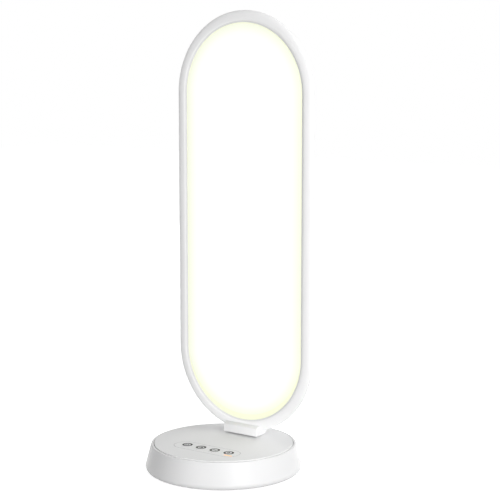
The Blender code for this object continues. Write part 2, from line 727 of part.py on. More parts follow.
def make_control_board():
    low = BASE_STAND + BOARD_LIFT
    board = block(
        "control_board", (-BOARD_LENGTH / 2, BOARD_FRONT, low),
        (BOARD_LENGTH / 2, BOARD_FRONT + BOARD_WIDTH, BOARD_TOP),
    )
    chip_y = BOARD_FRONT + BOARD_POST_INSET
    chip = block(
        "control_chip", (-CHIP_LENGTH / 2, chip_y - CHIP_LENGTH / 2, BOARD_TOP - BOARD_THICKNESS / 2),
        (CHIP_LENGTH / 2, chip_y + CHIP_LENGTH / 2, BOARD_TOP + CHIP_HEIGHT),
    )
    boolean(board, "UNION", [chip])
    clear = BOARD_SCREW[2] + SCREW_CLEARANCE
    boolean(board, "DIFFERENCE", [
        cylinder(f"board_hole_{i}", clear, low - OVERRUN, BOARD_TOP + OVERRUN, board_post_place(side))
        for i, side in enumerate((-1, 1), 1)
    ])
    finish(board, BOARD_GREEN)
    for i, side in enumerate((-1, 1), 1):
        x, y = board_post_place(side)
        screw(f"board_screw_{i}", BOARD_SCREW, (x, y, BOARD_TOP + SEAM), "Z")


def make_power_socket():
    mouth_y = wall_radius(SOCKET_Z) - SOCKET_SETBACK
    back_y = mouth_y - SOCKET_LENGTH
    half = SOCKET_WIDTH / 2
    tall = SOCKET_HEIGHT / 2
    shell = outline_solid("usb_c_socket", rounded([
        (-half, SOCKET_Z - tall, SOCKET_CORNER), (half, SOCKET_Z - tall, SOCKET_CORNER),
        (half, SOCKET_Z + tall, SOCKET_CORNER), (-half, SOCKET_Z + tall, SOCKET_CORNER),
    ]), back_y, mouth_y, "Y")
    inner_half = half - SOCKET_WALL
    inner_tall = tall - SOCKET_WALL
    corner = SOCKET_CORNER - SOCKET_WALL
    hollow = outline_solid("socket_hollow", rounded([
        (-inner_half, SOCKET_Z - inner_tall, corner), (inner_half, SOCKET_Z - inner_tall, corner),
        (inner_half, SOCKET_Z + inner_tall, corner), (-inner_half, SOCKET_Z + inner_tall, corner),
    ]), back_y + SOCKET_BACK, mouth_y + OVERRUN, "Y")
    tongue = block(
        "socket_tongue",
        (-SOCKET_TONGUE_WIDTH / 2, back_y + SOCKET_BACK / 2, SOCKET_Z - SOCKET_TONGUE_HEIGHT / 2),
        (SOCKET_TONGUE_WIDTH / 2, mouth_y - SOCKET_TONGUE_REVEAL, SOCKET_Z + SOCKET_TONGUE_HEIGHT / 2),
    )
    boolean(shell, "DIFFERENCE", [hollow])
    boolean(shell, "UNION", [tongue])
    finish(shell, STEEL)


# Hinge

def bracket_screw_places():
    return [
        (0, HINGE.y - BRACKET_FRONT + BRACKET_SCREW_INSET),
        (0, BRACKET_BACK - BRACKET_SCREW_INSET),
    ]


def ear_outline(bottom):
    """A strap of the bracket with a round eye on the hinge axis, as (y, z) points."""
    flare = math.degrees(math.asin(EAR_HALF_WIDTH / KNUCKLE_RADIUS))
    eye = arc((HINGE.y, HINGE.z), KNUCKLE_RADIUS, 270 - flare, flare - 90, SMALL_STEPS)
    return [(HINGE.y - EAR_HALF_WIDTH, bottom), *eye, (HINGE.y + EAR_HALF_WIDTH, bottom)]


def make_hinge_bracket():
    low = WEIGHT_TOP + SEAM
    top = low + BRACKET_THICKNESS
    plate = block(
        "hinge_bracket", (-BRACKET_HALF_WIDTH, HINGE.y - BRACKET_FRONT, low),
        (BRACKET_HALF_WIDTH, BRACKET_BACK, top),
    )
    ear = ear_outline(low + BRACKET_THICKNESS / 2)
    boolean(plate, "UNION", [
        outline_solid("bracket_ear_left", ear, -EAR_OUTER, -EAR_INNER, "X"),
        outline_solid("bracket_ear_right", ear, EAR_INNER, EAR_OUTER, "X"),
    ])
    clear = BRACKET_SCREW[2] + SCREW_CLEARANCE
    holes = [
        cylinder(f"bracket_hole_{i}", clear, low - OVERRUN, top + OVERRUN, at)
        for i, at in enumerate(bracket_screw_places(), 1)
    ]
    holes.append(pin_bore("bracket_bore"))
    boolean(plate, "DIFFERENCE", holes)
    finish(plate, STEEL)
    for i, (x, y) in enumerate(bracket_screw_places(), 1):
        screw(f"bracket_screw_{i}", BRACKET_SCREW, (x, y, top + SEAM), "Z")


def pin_bore(name):
    reach = EAR_OUTER + OVERRUN
    return cylinder(name, PIN_RADIUS + SEAM, -reach, reach, (HINGE.y, HINGE.z), axis="X")


def make_hinge_pins():
    """On each side a short headed pin goes in through ear, washer and knuckle, to a nut."""
    nut_end = KNUCKLE_INNER - SEAM
    nut_start = nut_end - NUT_HEIGHT
    washer_start = KNUCKLE_OUTER + SEAM
    pin_profile = [
        (0, PIN_HEAD + PIN_HEAD_HEIGHT),
        (PIN_HEAD_RADIUS, PIN_HEAD + PIN_HEAD_HEIGHT),
        (PIN_HEAD_RADIUS, PIN_HEAD),
        (PIN_RADIUS, PIN_HEAD),
        (PIN_RADIUS, nut_start - PIN_REACH),
        (0, nut_start - PIN_REACH),
    ]
    bore = PIN_RADIUS + SEAM
    nut_profile = ring_profile(bore, NUT_RADIUS, nut_start, nut_end)
    washer_profile = ring_profile(bore, WASHER_RADIUS, washer_start, washer_start + WASHER_THICKNESS)
    for name, axis in (("left", "-X"), ("right", "X")):
        finish(turned(f"hinge_pin_{name}", pin_profile, SMALL_STEPS, axis, HINGE, closed=False), STEEL)
        finish(turned(f"hinge_nut_{name}", nut_profile, NUT_SIDES, axis, HINGE), STEEL)
        finish(turned(f"friction_washer_{name}", washer_profile, SMALL_STEPS, axis, HINGE), STEEL)


def ring_profile(hole, radius, low, high):
    return [(hole, high), (radius, high), (radius, low), (hole, low)]


# Panel frame with the neck

def frame_section():
    """The bezel's section, as (radius, depth) points: chamfered lip, flat, round edge, pocket."""
    front_edge = arc((FLAT_OUTER, FRAME_WIDEST_DEPTH), FRAME_EDGE_WIDTH, -90, 0,
                     depth_radius=FRAME_WIDEST_DEPTH)
    back_edge = arc((FRAME_BACK_RADIUS, FRAME_WIDEST_DEPTH), FRAME_BACK_INSET, 0, 90,
                    depth_radius=FRAME_DEPTH - FRAME_WIDEST_DEPTH)
    return [
        (LIP_RADIUS, LIP_CHAMFER),
        (FLAT_INNER, 0),
        *front_edge,
        *back_edge[1:],
        (POCKET_RADIUS, FRAME_DEPTH),
        (POCKET_RADIUS, LIP_DEPTH),
        (LIP_RADIUS, LIP_DEPTH),
    ]


def neck_outline():
    """The neck block seen from the side, as (y, z) points, round about the hinge at its lower back."""
    slope_top = NECK_BOTTOM + NECK_SLOPE_HEIGHT
    top = NECK_BOTTOM + NECK_TOP
    return rounded([
        (NECK_FRONT, NECK_BOTTOM, NECK_EDGE),
        (NECK_FRONT, NECK_BOTTOM + NECK_FRONT_HEIGHT, NECK_BROW_FILLET),
        (PANEL_FRONT + NECK_SLOPE_SINK, slope_top, 0),
        (PANEL_SETBACK, slope_top, 0),
        (PANEL_SETBACK, top, 0),
        (NECK_BACK, top, NECK_BACK_FILLET),
        (NECK_BACK, NECK_BOTTOM, HINGE_CORNER),
    ], CURVE_STEPS)


def cavity_outline():
    """The hinge space inside the neck, open below behind the bottom wall, and at the back."""
    floor = NECK_BOTTOM + NECK_WALL
    ceiling = NECK_BOTTOM + NECK_CEILING
    swing = math.radians(TILT_FORWARD_DEG)
    swept = HINGE_CORNER * math.tan(swing) + EAR_HALF_WIDTH / math.cos(swing) + 2 * SEAM
    inner = NECK_FRONT + NECK_WALL
    return [
        (inner, floor),
        (inner, ceiling - NECK_CEILING_CHAMFER),
        (inner + NECK_CEILING_CHAMFER, ceiling),
        (NECK_BACK + OVERRUN, ceiling),
        (NECK_BACK + OVERRUN, NECK_BOTTOM - OVERRUN),
        (HINGE.y - swept, NECK_BOTTOM - OVERRUN),
        (HINGE.y - swept, floor),
    ]


def knuckle_outline():
    top = NECK_BOTTOM + NECK_CEILING + OVERRUN
    eye = arc((HINGE.y, HINGE.z), KNUCKLE_RADIUS, 180, 360, SMALL_STEPS)
    return [(HINGE.y - KNUCKLE_RADIUS, top), *eye, (HINGE.y + KNUCKLE_RADIUS, top)]


def rear_screw_places():
    heights = (
        LOWER_ARC_Z + REAR_SCREW_INSET,
        (LOWER_ARC_Z + UPPER_ARC_Z) / 2,
        UPPER_ARC_Z - REAR_SCREW_INSET,
    )
    return [(side * REAR_SCREW_RADIUS, z) for side in (-1, 1) for z in heights]


def neck_screw_places():
    z = NECK_BOTTOM + NECK_COVER_TOP - NECK_SCREW_DROP
    return [(-NECK_SCREW_SPREAD, z), (NECK_SCREW_SPREAD, z)]


def make_panel_frame(axis):
    frame = capsule_ring("panel_frame", frame_section())
    inside = NECK_HALF - NECK_WALL
    neck = outline_solid("neck_block", neck_outline(), -NECK_HALF, NECK_HALF, "X")
    pocket_front = PANEL_FRONT + LIP_DEPTH / 2
    boolean(neck, "DIFFERENCE", [
        capsule_plate("light_pocket", POCKET_RADIUS + SEAM, pocket_front, REAR_FRONT + POCKET_REACH),
        outline_solid("hinge_space", cavity_outline(), -inside, inside, "X"),
    ])
    boolean(frame, "UNION", [neck])
    boolean(frame, "UNION", [
        outline_solid("knuckle_left", knuckle_outline(), -KNUCKLE_OUTER, -KNUCKLE_INNER, "X"),
        outline_solid("knuckle_right", knuckle_outline(), KNUCKLE_INNER, KNUCKLE_OUTER, "X"),
    ])
    notch_front = (FRAME_BACK + REAR_FRONT) / 2
    notch_half = LEAD_NOTCH_WIDTH / 2
    cuts = [
        pin_bore("knuckle_bore"),
        block("neck_cover_seat", (-inside, NECK_COVER_SEAT, NECK_BOTTOM - OVERRUN),
              (inside, NECK_BACK + OVERRUN, NECK_BOTTOM + NECK_COVER_TOP + SEAM)),
        block("lead_notch", (PANEL_LEAD_X - notch_half, notch_front, HINGE.z + KNUCKLE_RADIUS),
              (PANEL_LEAD_X + notch_half, notch_front + LEAD_NOTCH_DEPTH, NECK_BOTTOM + NECK_TOP + OVERRUN)),
    ]
    pilot = REAR_SCREW[2] + SCREW_CLEARANCE
    depth = PANEL_FRONT + FRAME_WIDEST_DEPTH
    cuts += [
        cylinder(f"rear_pilot_{i}", pilot, depth, REAR_FRONT, at, axis="Y")
        for i, at in enumerate(rear_screw_places(), 1)
    ]
    pilot = NECK_SCREW[2] + SCREW_CLEARANCE
    cuts += [
        cylinder(f"neck_pilot_{i}", pilot, NECK_COVER_SEAT - NECK_SCREW[3], NECK_BACK, at, axis="Y")
        for i, at in enumerate(neck_screw_places(), 1)
    ]
    boolean(frame, "DIFFERENCE", cuts)
    finish(frame, WHITE, axis)


def make_neck_cover(axis):
    """The hatch behind the hinge: its lower edge curls round the hinge axis."""
    inner = HINGE_CORNER - NECK_COVER_THICKNESS
    centre = (HINGE.y, HINGE.z)
    top = NECK_BOTTOM + NECK_COVER_TOP
    outline = [
        (NECK_BACK - NECK_COVER_THICKNESS, top),
        (NECK_BACK, top),
        *arc(centre, HINGE_CORNER, 0, -NECK_COVER_WRAP_DEG),
        *arc(centre, inner, -NECK_COVER_WRAP_DEG, 0),
    ]
    half = NECK_HALF - NECK_WALL - SEAM
    cover = outline_solid("neck_cover", outline, -half, half, "X")
    head = NECK_SCREW[0] + SCREW_CLEARANCE
    shank = NECK_SCREW[2] + SCREW_CLEARANCE
    sink = neck_screw_seat() - SEAM
    behind = NECK_BACK + OVERRUN
    cuts = []
    for i, at in enumerate(neck_screw_places(), 1):
        cuts.append(cylinder(f"neck_sink_{i}", head, sink, behind, at, axis="Y"))
        cuts.append(cylinder(f"neck_hole_{i}", shank, NECK_COVER_SEAT, behind, at, axis="Y"))
    boolean(cover, "DIFFERENCE", cuts)
    finish(cover, WHITE, axis)
    for i, (x, z) in enumerate(neck_screw_places(), 1):
        screw(f"neck_screw_{i}", NECK_SCREW, (x, neck_screw_seat(), z), "Y", axis)


def neck_screw_seat():
    return NECK_BACK - NECK_SCREW[1]


# Light stack and rear cover

def make_light_stack(axis):
    front = PANEL_FRONT + FLANGE_DEPTH
    diffuser = capsule_plate("diffuser", POCKET_RADIUS - SEAM, front, front + DIFFUSER_FLANGE)
    boolean(diffuser, "UNION", [
        capsule_plate("diffuser_step", LIP_RADIUS - SEAM, front - DIFFUSER_STEP, front + DIFFUSER_FLANGE / 2),
    ])
    finish(diffuser, OPAL, axis)
    front = PANEL_FRONT + GUIDE_DEPTH
    guide = capsule_plate("light_guide_plate", POCKET_RADIUS - GUIDE_INSET, front, front + GUIDE_THICKNESS)
    finish(guide, ACRYLIC, axis)
    front = PANEL_FRONT + REFLECTOR_DEPTH
    back = front + REFLECTOR_THICKNESS
    sheet = capsule_plate("reflector_sheet", POCKET_RADIUS - REFLECTOR_INSET, front, back)
    finish(sheet, FILM, axis)
    for name, side in (("left", -1), ("right", 1)):
        make_led_strip(f"led_strip_{name}", side, axis)


def make_led_strip(name, side, axis):
    """A flexible board on edge against the pocket wall, with its LEDs facing the light guide."""
    wall = POCKET_RADIUS - SEAM
    face = wall - STRIP_THICKNESS
    low = LOWER_ARC_Z + STRIP_MARGIN
    high = UPPER_ARC_Z - STRIP_MARGIN
    pitch = (high - low) / LED_COUNT
    front = PANEL_FRONT + GUIDE_DEPTH
    back = front + STRIP_WIDTH
    strip = side_block(name, side, (face, wall), (front, back), (low, high))
    lamps = []
    for i in range(LED_COUNT):
        middle = low + pitch * i + pitch / 2
        lamps.append(side_block(
            f"{name}_lamp_{i + 1}", side, (face - LED_HEIGHT, face + STRIP_THICKNESS / 2),
            (front + LED_INSET, back - LED_INSET), (middle - LED_LENGTH / 2, middle + LED_LENGTH / 2),
        ))
    boolean(strip, "UNION", lamps)
    finish(strip, STRIP_WHITE, axis)


def make_rear_cover(axis):
    edge = arc((FRAME_BACK_RADIUS - REAR_EDGE_WIDTH, REAR_DEPTH), REAR_EDGE_WIDTH, 0, 90,
               depth_radius=PANEL_DEPTH - REAR_DEPTH)
    section = [(POCKET_RADIUS, REAR_DEPTH), *edge, (POCKET_RADIUS, PANEL_DEPTH)]
    cover = capsule_ring("rear_cover", section)
    floor_back = PANEL_BACK - REAR_FLOOR_INSET
    rib_front = PANEL_FRONT + STACK_DEPTH + SEAM
    pitch = PANEL_STRAIGHT / RIB_COUNT
    ribs = []
    for i in range(RIB_COUNT):
        z = LOWER_ARC_Z + pitch * i + pitch / 2
        ribs.append(block(
            f"rear_rib_{i + 1}", (-RIB_LENGTH / 2, rib_front, z - RIB_THICKNESS / 2),
            (RIB_LENGTH / 2, REAR_FLOOR_FRONT + REAR_FLOOR_THICKNESS / 2, z + RIB_THICKNESS / 2),
        ))
    floor = capsule_plate("rear_floor", POCKET_RADIUS + REAR_FLOOR_LAP, REAR_FLOOR_FRONT, floor_back)
    boolean(cover, "UNION", [floor, *ribs])
    room = NECK_HALF + SEAM
    cuts = [block(
        "neck_room", (-room, FRAME_BACK, NECK_BOTTOM),
        (room, PANEL_BACK + OVERRUN, NECK_BOTTOM + NECK_TOP + SEAM),
    )]
    head = REAR_SCREW[0] + SCREW_CLEARANCE
    shank = REAR_SCREW[2] + SCREW_CLEARANCE
    seat = rear_screw_seat() - SEAM
    for i, at in enumerate(rear_screw_places(), 1):
        cuts.append(cylinder(f"rear_sink_{i}", head, seat, PANEL_BACK + OVERRUN, at, axis="Y"))
        cuts.append(cylinder(f"rear_hole_{i}", shank, FRAME_BACK, PANEL_BACK + OVERRUN, at, axis="Y"))
    boolean(cover, "DIFFERENCE", cuts)
    finish(cover, WHITE, axis)
    for i, (x, z) in enumerate(rear_screw_places(), 1):
        screw(f"rear_screw_{i}", REAR_SCREW, (x, rear_screw_seat(), z), "Y", axis)


def rear_screw_seat():
    return REAR_FRONT + SCREW_FLOOR + SEAM


# Leads and the junction board

def make_leads(axis):
    meet = -LEAD_OFFSET + LEAD_TURN + SEAM
    soft = LEAD_TURN - LEAD_CUT
    over = WEIGHT_TOP + LEAD_LIE
    finish(tube("base_lead", [
        *lead_start(-CHIP_LENGTH),
        (-BRACKET_HALF_WIDTH - LEAD_RISE / 2, WEIGHT_RADIUS, over),
        (-LEAD_OFFSET, HINGE.y + HINGE_CORNER, over + LEAD_RADIUS),
        (-LEAD_OFFSET, HINGE.y, (over + BASE_HEIGHT) / 2),
        (-LEAD_OFFSET, HINGE.y, BASE_HEIGHT),
        (-LEAD_OFFSET, HINGE.y, HINGE.z - LEAD_TURN),
        (-LEAD_OFFSET + LEAD_CUT, HINGE.y, HINGE.z - LEAD_CUT),
        (-LEAD_OFFSET + LEAD_TURN, HINGE.y, HINGE.z),
    ], LEAD_RADIUS), INSULATION)
    lead_y = REAR_FRONT + LEAD_RADIUS + LEAD_WALL_GAP
    finish(tube("panel_lead", [
        (meet, HINGE.y, HINGE.z),
        (PANEL_LEAD_X - LEAD_CUT, HINGE.y, HINGE.z + LEAD_CUT),
        (PANEL_LEAD_X, HINGE.y - LEAD_CUT, HINGE.z + LEAD_TURN),
        (PANEL_LEAD_X, (HINGE.y + lead_y) / 2, HINGE.z + LEAD_TURN + soft),
        (PANEL_LEAD_X, lead_y, NECK_BOTTOM + NECK_CEILING),
        (PANEL_LEAD_X, lead_y, NECK_BOTTOM + NECK_SLOPE_HEIGHT),
        (PANEL_LEAD_X, lead_y, JUNCTION_BOTTOM - SEAM),
    ], LEAD_RADIUS), INSULATION, axis)
    back = REAR_FLOOR_FRONT - SEAM
    board = block(
        "junction_board", (-JUNCTION_LENGTH / 2, back - JUNCTION_THICKNESS, JUNCTION_BOTTOM),
        (JUNCTION_LENGTH / 2, back, JUNCTION_BOTTOM + JUNCTION_WIDTH),
    )
    finish(board, BOARD_GREEN, axis)
    for name, side in (("left", -1), ("right", 1)):
        finish(tube(f"strip_lead_{name}", strip_lead_route(side), STRIP_LEAD_RADIUS), INSULATION, axis)
    finish(tube("touch_lead", [
        *lead_start(CHIP_LENGTH),
        (BRACKET_HALF_WIDTH + LEAD_RISE / 2, WEIGHT_RADIUS, over),
        (BRACKET_HALF_WIDTH + LEAD_RISE, HINGE.y, over),
        (BRACKET_HALF_WIDTH + LEAD_RISE, 0, over),
        (BRACKET_HALF_WIDTH, TOUCH_ROW_Y / 2, over),
        (BRACKET_HALF_WIDTH, TOUCH_ROW_Y, TOUCH_BOARD_BOTTOM - LEAD_RISE),
        (BRACKET_HALF_WIDTH, TOUCH_ROW_Y, TOUCH_BOARD_BOTTOM - SEAM),
    ], LEAD_RADIUS), INSULATION)


def lead_start(x):
    """A lead's first points, straight up from the control board."""
    y = BOARD_FRONT + BOARD_POST_INSET
    low = BOARD_TOP + SEAM
    return [(x, y, low), (x, y, low + LEAD_RISE)]


def strip_lead_route(side):
    """From one end of the junction board, round inside the rear cover, to an LED strip's lower end."""
    lead_y = REAR_FRONT + STRIP_LEAD_RADIUS + LEAD_WALL_GAP
    strip_y = PANEL_FRONT + GUIDE_DEPTH + STRIP_WIDTH / 2
    strip_x = POCKET_RADIUS - SEAM - STRIP_LEAD_RADIUS - LEAD_WALL_GAP
    route = [(JUNCTION_LENGTH / 2 + SEAM, lead_y, JUNCTION_BOTTOM + JUNCTION_WIDTH / 2)]
    for angle in STRIP_LEAD_ANGLES:
        x, z = polar(POCKET_RADIUS - STRIP_LEAD_INSET, angle)
        route.append((x, lead_y, LOWER_ARC_Z + z))
    route.append((strip_x - STRIP_LEAD_RADIUS, lead_y, LOWER_ARC_Z - STRIP_LEAD_INSET))
    route.append((strip_x, strip_y, LOWER_ARC_Z))
    route.append((strip_x, strip_y, LOWER_ARC_Z + STRIP_MARGIN - SEAM))
    return [(side * x, y, z) for x, y, z in route]


for old in list(bpy.data.objects):
    bpy.data.objects.remove(old)

SCENE_PARTS = collection("selfie_led_lamp")
CUTTERS = collection("cutters")
CUTTERS.hide_render = True

WHITE = material("gloss_white_plastic", (0.86, 0.86, 0.87), 0.22)
OPAL = material("opal_diffuser", (1.0, 0.99, 0.93), 0.45, glow=1.0)
ACRYLIC = material("clear_acrylic", (0.90, 0.95, 0.96), 0.08)
FILM = material("reflector_film", (0.95, 0.95, 0.95), 0.60)
STRIP_WHITE = material("strip_solder_mask", (0.90, 0.90, 0.86), 0.50)
BOARD_GREEN = material("circuit_board", (0.03, 0.20, 0.09), 0.45)
STEEL = material("zinc_plated_steel", (0.62, 0.63, 0.65), 0.32, metallic=1.0)
MATT_WHITE = material("matt_white_plastic", (0.80, 0.80, 0.81), 0.50)
RUBBER = material("foot_rubber", (0.05, 0.05, 0.05), 0.85)
FOAM = material("conductive_foam", (0.10, 0.10, 0.11), 0.90)
INSULATION = material("lead_insulation", (0.75, 0.75, 0.75), 0.50)

tilt_axis = bpy.data.objects.new("panel_tilt_axis", None)
tilt_axis.location = HINGE
SCENE_PARTS.objects.link(tilt_axis)

make_base_housing()
make_top_panel()
make_touch_parts()
make_bottom_cover()
make_base_fittings()
make_control_board()
make_power_socket()
make_hinge_bracket()
make_hinge_pins()
make_panel_frame(tilt_axis)
make_neck_cover(tilt_axis)
make_light_stack(tilt_axis)
make_rear_cover(tilt_axis)
make_leads(tilt_axis)
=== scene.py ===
"""Looks for the capsule panel lamp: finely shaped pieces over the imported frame, materials, studio.

Sections and places are in millimetres in the row frame; every mesh is made in metres.
"""

import json
import math

import bmesh
import bpy
from mathutils import Matrix, Vector


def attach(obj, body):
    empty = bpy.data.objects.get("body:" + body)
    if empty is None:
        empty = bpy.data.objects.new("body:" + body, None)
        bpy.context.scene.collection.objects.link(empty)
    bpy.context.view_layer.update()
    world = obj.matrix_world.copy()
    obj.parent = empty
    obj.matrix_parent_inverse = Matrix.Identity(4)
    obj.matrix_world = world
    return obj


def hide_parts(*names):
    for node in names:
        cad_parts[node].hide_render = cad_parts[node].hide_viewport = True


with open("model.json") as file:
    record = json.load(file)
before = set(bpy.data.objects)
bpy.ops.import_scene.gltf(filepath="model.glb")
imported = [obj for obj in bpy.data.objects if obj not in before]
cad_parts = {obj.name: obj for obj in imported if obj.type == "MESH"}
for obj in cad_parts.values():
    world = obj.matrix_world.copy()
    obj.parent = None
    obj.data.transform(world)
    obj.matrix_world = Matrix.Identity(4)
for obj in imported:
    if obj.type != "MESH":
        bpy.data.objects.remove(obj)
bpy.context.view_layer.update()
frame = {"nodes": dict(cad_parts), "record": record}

MM = 0.001
WELD = 0.0005                # points closer than this are one
CREASE = math.radians(32)    # edges sharper than this stay sharp

# Faces round each turned piece, and round each end of the panel
BASE_STEPS = 288
COVER_STEPS = 192
CAP_STEPS = 72
FOOT_STEPS = 64
KEY_STEPS = 64
DISC_STEPS = 48
HEAD_STEPS = 40

# Panel: the ends of the capsule's middle line, and the plane that its depths start from
LOWER_Z = 101.2
UPPER_Z = 334.7
PANEL_FRONT = 29.5
LIP_RADIUS = 63.9            # the frame's inner lip lies within this distance of the line
REAR_SCREW_X = 68.0
REAR_SCREW_Z = (121.2, 217.95, 314.7)
REAR_SEAT = 36.7

# Hinge and neck block
HINGE_Y = 38.2
HINGE_Z = 30.5
NECK_HALF = 18.15
CAVITY_HALF = 16.15
HATCH_HALF = 15.85
NECK_BACK = 42.7
NECK_BOTTOM = 26.0
NECK_SCREW_X = (-8, 8)
NECK_SCREW_Z = 36.3
NECK_SEAT = 41.9
KNUCKLE = (3.4, 5.4)         # from and to, on each side of the middle
EAR_X = 7.15

# Base
RIM = 24.3
RIM_INSIDE = 62.7
SEAT = 22.5                  # the ledge under the top plate
PLATE = 24.8
PLATE_BOTTOM = 22.8
COVER_SCREW_CIRCLE = 61.2
WEIGHT_SCREW_X = 30
FOOT_CIRCLE = 54
INLET_Z = 9.5

# Marks printed on the top plate
KEY_ROW = -26.8
KEY_MIDDLE = 2.4
KEY_STEP = 15.09
KEY_RING = (4.7, 2.9)        # outer and inner radius
KEY_BAR = (3.9, 1.3)         # length and width of the strokes of minus and plus
PRINT = 0.03
BORDER_PRINT = 0.02
BORDER_HALF = (34.0, 10.4)
BORDER_CORNER = 10.3
BORDER_Y = KEY_ROW - 1.6
BORDER_INSIDE = (0.9904, 0.968)

# Light of the diffuser: share of the way to its rim, and the colour there
GLOW_RADIUS = 0.0621         # metres from the line to the rim
GLOW_STRENGTH = 0.86
GLOW_STOPS = (
    (0.80, (1.0, 1.0, 0.985)),
    (0.90, (0.94, 0.96, 0.86)),
    (0.945, (0.90, 0.93, 0.78)),
    (0.985, (0.87, 0.90, 0.74)),
    (1.0, (0.88, 0.90, 0.64)),
)
# Colour of the bezel's painted glow: the white frame gives off a faint light, though it is no lamp
PAINTED_BEZEL_GLOW = (1.0, 0.99, 0.96)

# Lamps: name, watts, azimuth and elevation in degrees, width and height in metres
LAMPS = (
    ("key_softbox", 15.0, 60, 6, 0.8, 0.55),
    ("side_fill", 7.0, 110, 35, 0.9, 0.9),
    ("front_fill", 7.7, -6, 5, 1.3, 0.55),
    ("back_fill", 13.0, 192, 8, 1.3, 0.55),
)
LAMP_DISTANCE = 1.6
LAMP_TARGET = (0, 0, 0.16)
FILL_RIGHT = 0.54            # strength of the world's light from +X; none comes from -X
FLOOR_LIT = 0.26             # floor colour for light that it throws back on the object
FLOOR_SEEN = 0.74            # floor colour for the camera and in reflections
FLOOR_LIFT = 0.83            # light added to it there, so that it reads as white
FLOOR_HALF = 3000            # millimetres

# Camera, fitted to the photograph: metres, degrees and millimetres
CAMERA_PLACE = (0.7396, -1.0153, 0.3797)
CAMERA_YAW = 34.99
CAMERA_DIP = 8.21
CAMERA_LENS = 103.7
CAMERA_SENSOR = 36


# Shape tools

def arc(centre, radius, start, end, steps, other=None):
    """Points of a round or elliptical arc, angles in degrees, both ends included."""
    other = radius if other is None else other
    angles = [math.radians(start + (end - start) * i / steps) for i in range(steps + 1)]
    return [(centre[0] + radius * math.cos(a), centre[1] + other * math.sin(a)) for a in angles]


def rounded(corners, steps):
    """A closed outline of (x, y, fillet) corners with the fillets as arcs."""
    points = []
    for i, (x, y, fillet) in enumerate(corners):
        if not fillet:
            points.append((x, y))
            continue
        corner = Vector((x, y))
        before = Vector(corners[i - 1][:2]) - corner
        after = Vector(corners[(i + 1) % len(corners)][:2]) - corner
        half = before.angle(after) / 2
        tangent = min(fillet / math.tan(half), 0.49 * min(before.length, after.length))
        radius = tangent * math.tan(half)
        middle = (before.normalized() + after.normalized()).normalized()
        centre = corner + middle * (radius / math.sin(half))
        first = corner + before.normalized() * tangent - centre
        last = corner + after.normalized() * tangent - centre
        sweep = first.angle_signed(last)
        for k in range(steps + 1):
            points.append(tuple(centre + Matrix.Rotation(-sweep * k / steps, 2) @ first))
    return points


def polar(radius, degrees):
    a = math.radians(degrees)
    return radius * math.cos(a), radius * math.sin(a)


def creased(mesh):
    """Smooth shading, with the sharp creases kept."""
    mesh.shade_smooth()
    mesh.set_sharp_from_angle(angle=CREASE)


def placed(work, name):
    """An object in the scene from a bmesh, which is used up."""
    mesh = bpy.data.meshes.new(name)
    work.to_mesh(mesh)
    work.free()
    creased(mesh)
    made = bpy.data.objects.new(name, mesh)
    bpy.context.scene.collection.objects.link(made)
    return made


def finished(work, name):
    """An object from a bmesh made in millimetres."""
    bmesh.ops.remove_doubles(work, verts=work.verts, dist=WELD)
    bmesh.ops.recalc_face_normals(work, faces=work.faces)
    bmesh.ops.scale(work, vec=(MM, MM, MM), verts=work.verts)
    return placed(work, name)


def loft(name, rings, closed=False):
    """Joins rings of points with quads; the last meets the first, or both ends get a flat face."""
    work = bmesh.new()
    rows = [[work.verts.new(p) for p in ring] for ring in rings]
    pairs = list(zip(rows, rows[1:]))
    if closed:
        pairs.append((rows[-1], rows[0]))
    for a, b in pairs:
        for i in range(len(a)):
            j = (i + 1) % len(a)
            work.faces.new((a[i], a[j], b[j], b[i]))
    if not closed:
        work.faces.new(rows[0])
        work.faces.new(list(reversed(rows[-1])))
    return finished(work, name)


def circle(radius, z, steps, at=(0, 0)):
    turns = [2 * math.pi * i / steps for i in range(steps)]
    return [(at[0] + radius * math.cos(a), at[1] + radius * math.sin(a), z) for a in turns]


def turned(name, profile, steps, closed=False):
    """A turned solid from (radius, height) points; an open profile gets flat ends."""
    return loft(name, [circle(radius, z, steps) for radius, z in profile], closed)


def capsule(radius, y):
    """The panel's outline at a distance from its middle line."""
    points = []
    for centre, start in ((UPPER_Z, 0), (LOWER_Z, 180)):
        for i in range(CAP_STEPS + 1):
            a = math.radians(start + 180 * i / CAP_STEPS)
            points.append((radius * math.cos(a), y, centre + radius * math.sin(a)))
    return points


def capsule_sweep(name, section, closed=False):
    """A section of (radius, depth) points carried round the panel; an open one gets flat faces."""
    return loft(name, [capsule(r, PANEL_FRONT + depth) for r, depth in section], closed)


def prism(name, outline, low, high, across):
    """A flat outline given a thickness: across X it lies in YZ, across Y in XZ, across Z in XY."""
    put = {
        "X": lambda a, b, t: (t, a, b),
        "Y": lambda a, b, t: (a, t, b),
        "Z": lambda a, b, t: (a, b, t),
    }[across]
    return loft(name, [[put(a, b, t) for a, b in outline] for t in (low, high)])


def disc(name, radius, low, high, at, across="Z"):
    return prism(name, arc(at, radius, 0, 360, DISC_STEPS)[:-1], low, high, across)


def box(name, low, high):
    (x0, y0, z0), (x1, y1, z1) = low, high
    return prism(name, [(x0, y0), (x1, y0), (x1, y1), (x0, y1)], z0, z1, "Z")


def settle(piece):
    """Applies the piece's modifiers and marks its creases afresh."""
    bpy.context.view_layer.update()
    graph = bpy.context.evaluated_depsgraph_get()
    mesh = bpy.data.meshes.new_from_object(piece.evaluated_get(graph))
    piece.modifiers.clear()
    piece.data = mesh
    creased(mesh)
    return piece


def cut(piece, tools):
    """Takes the tools out of the piece, and removes them."""
    for tool in tools:
        made = piece.modifiers.new(tool.name, "BOOLEAN")
        made.operation = "DIFFERENCE"
        made.solver = "EXACT"
        made.object = tool
    settle(piece)
    for tool in tools:
        bpy.data.objects.remove(tool)
    return piece


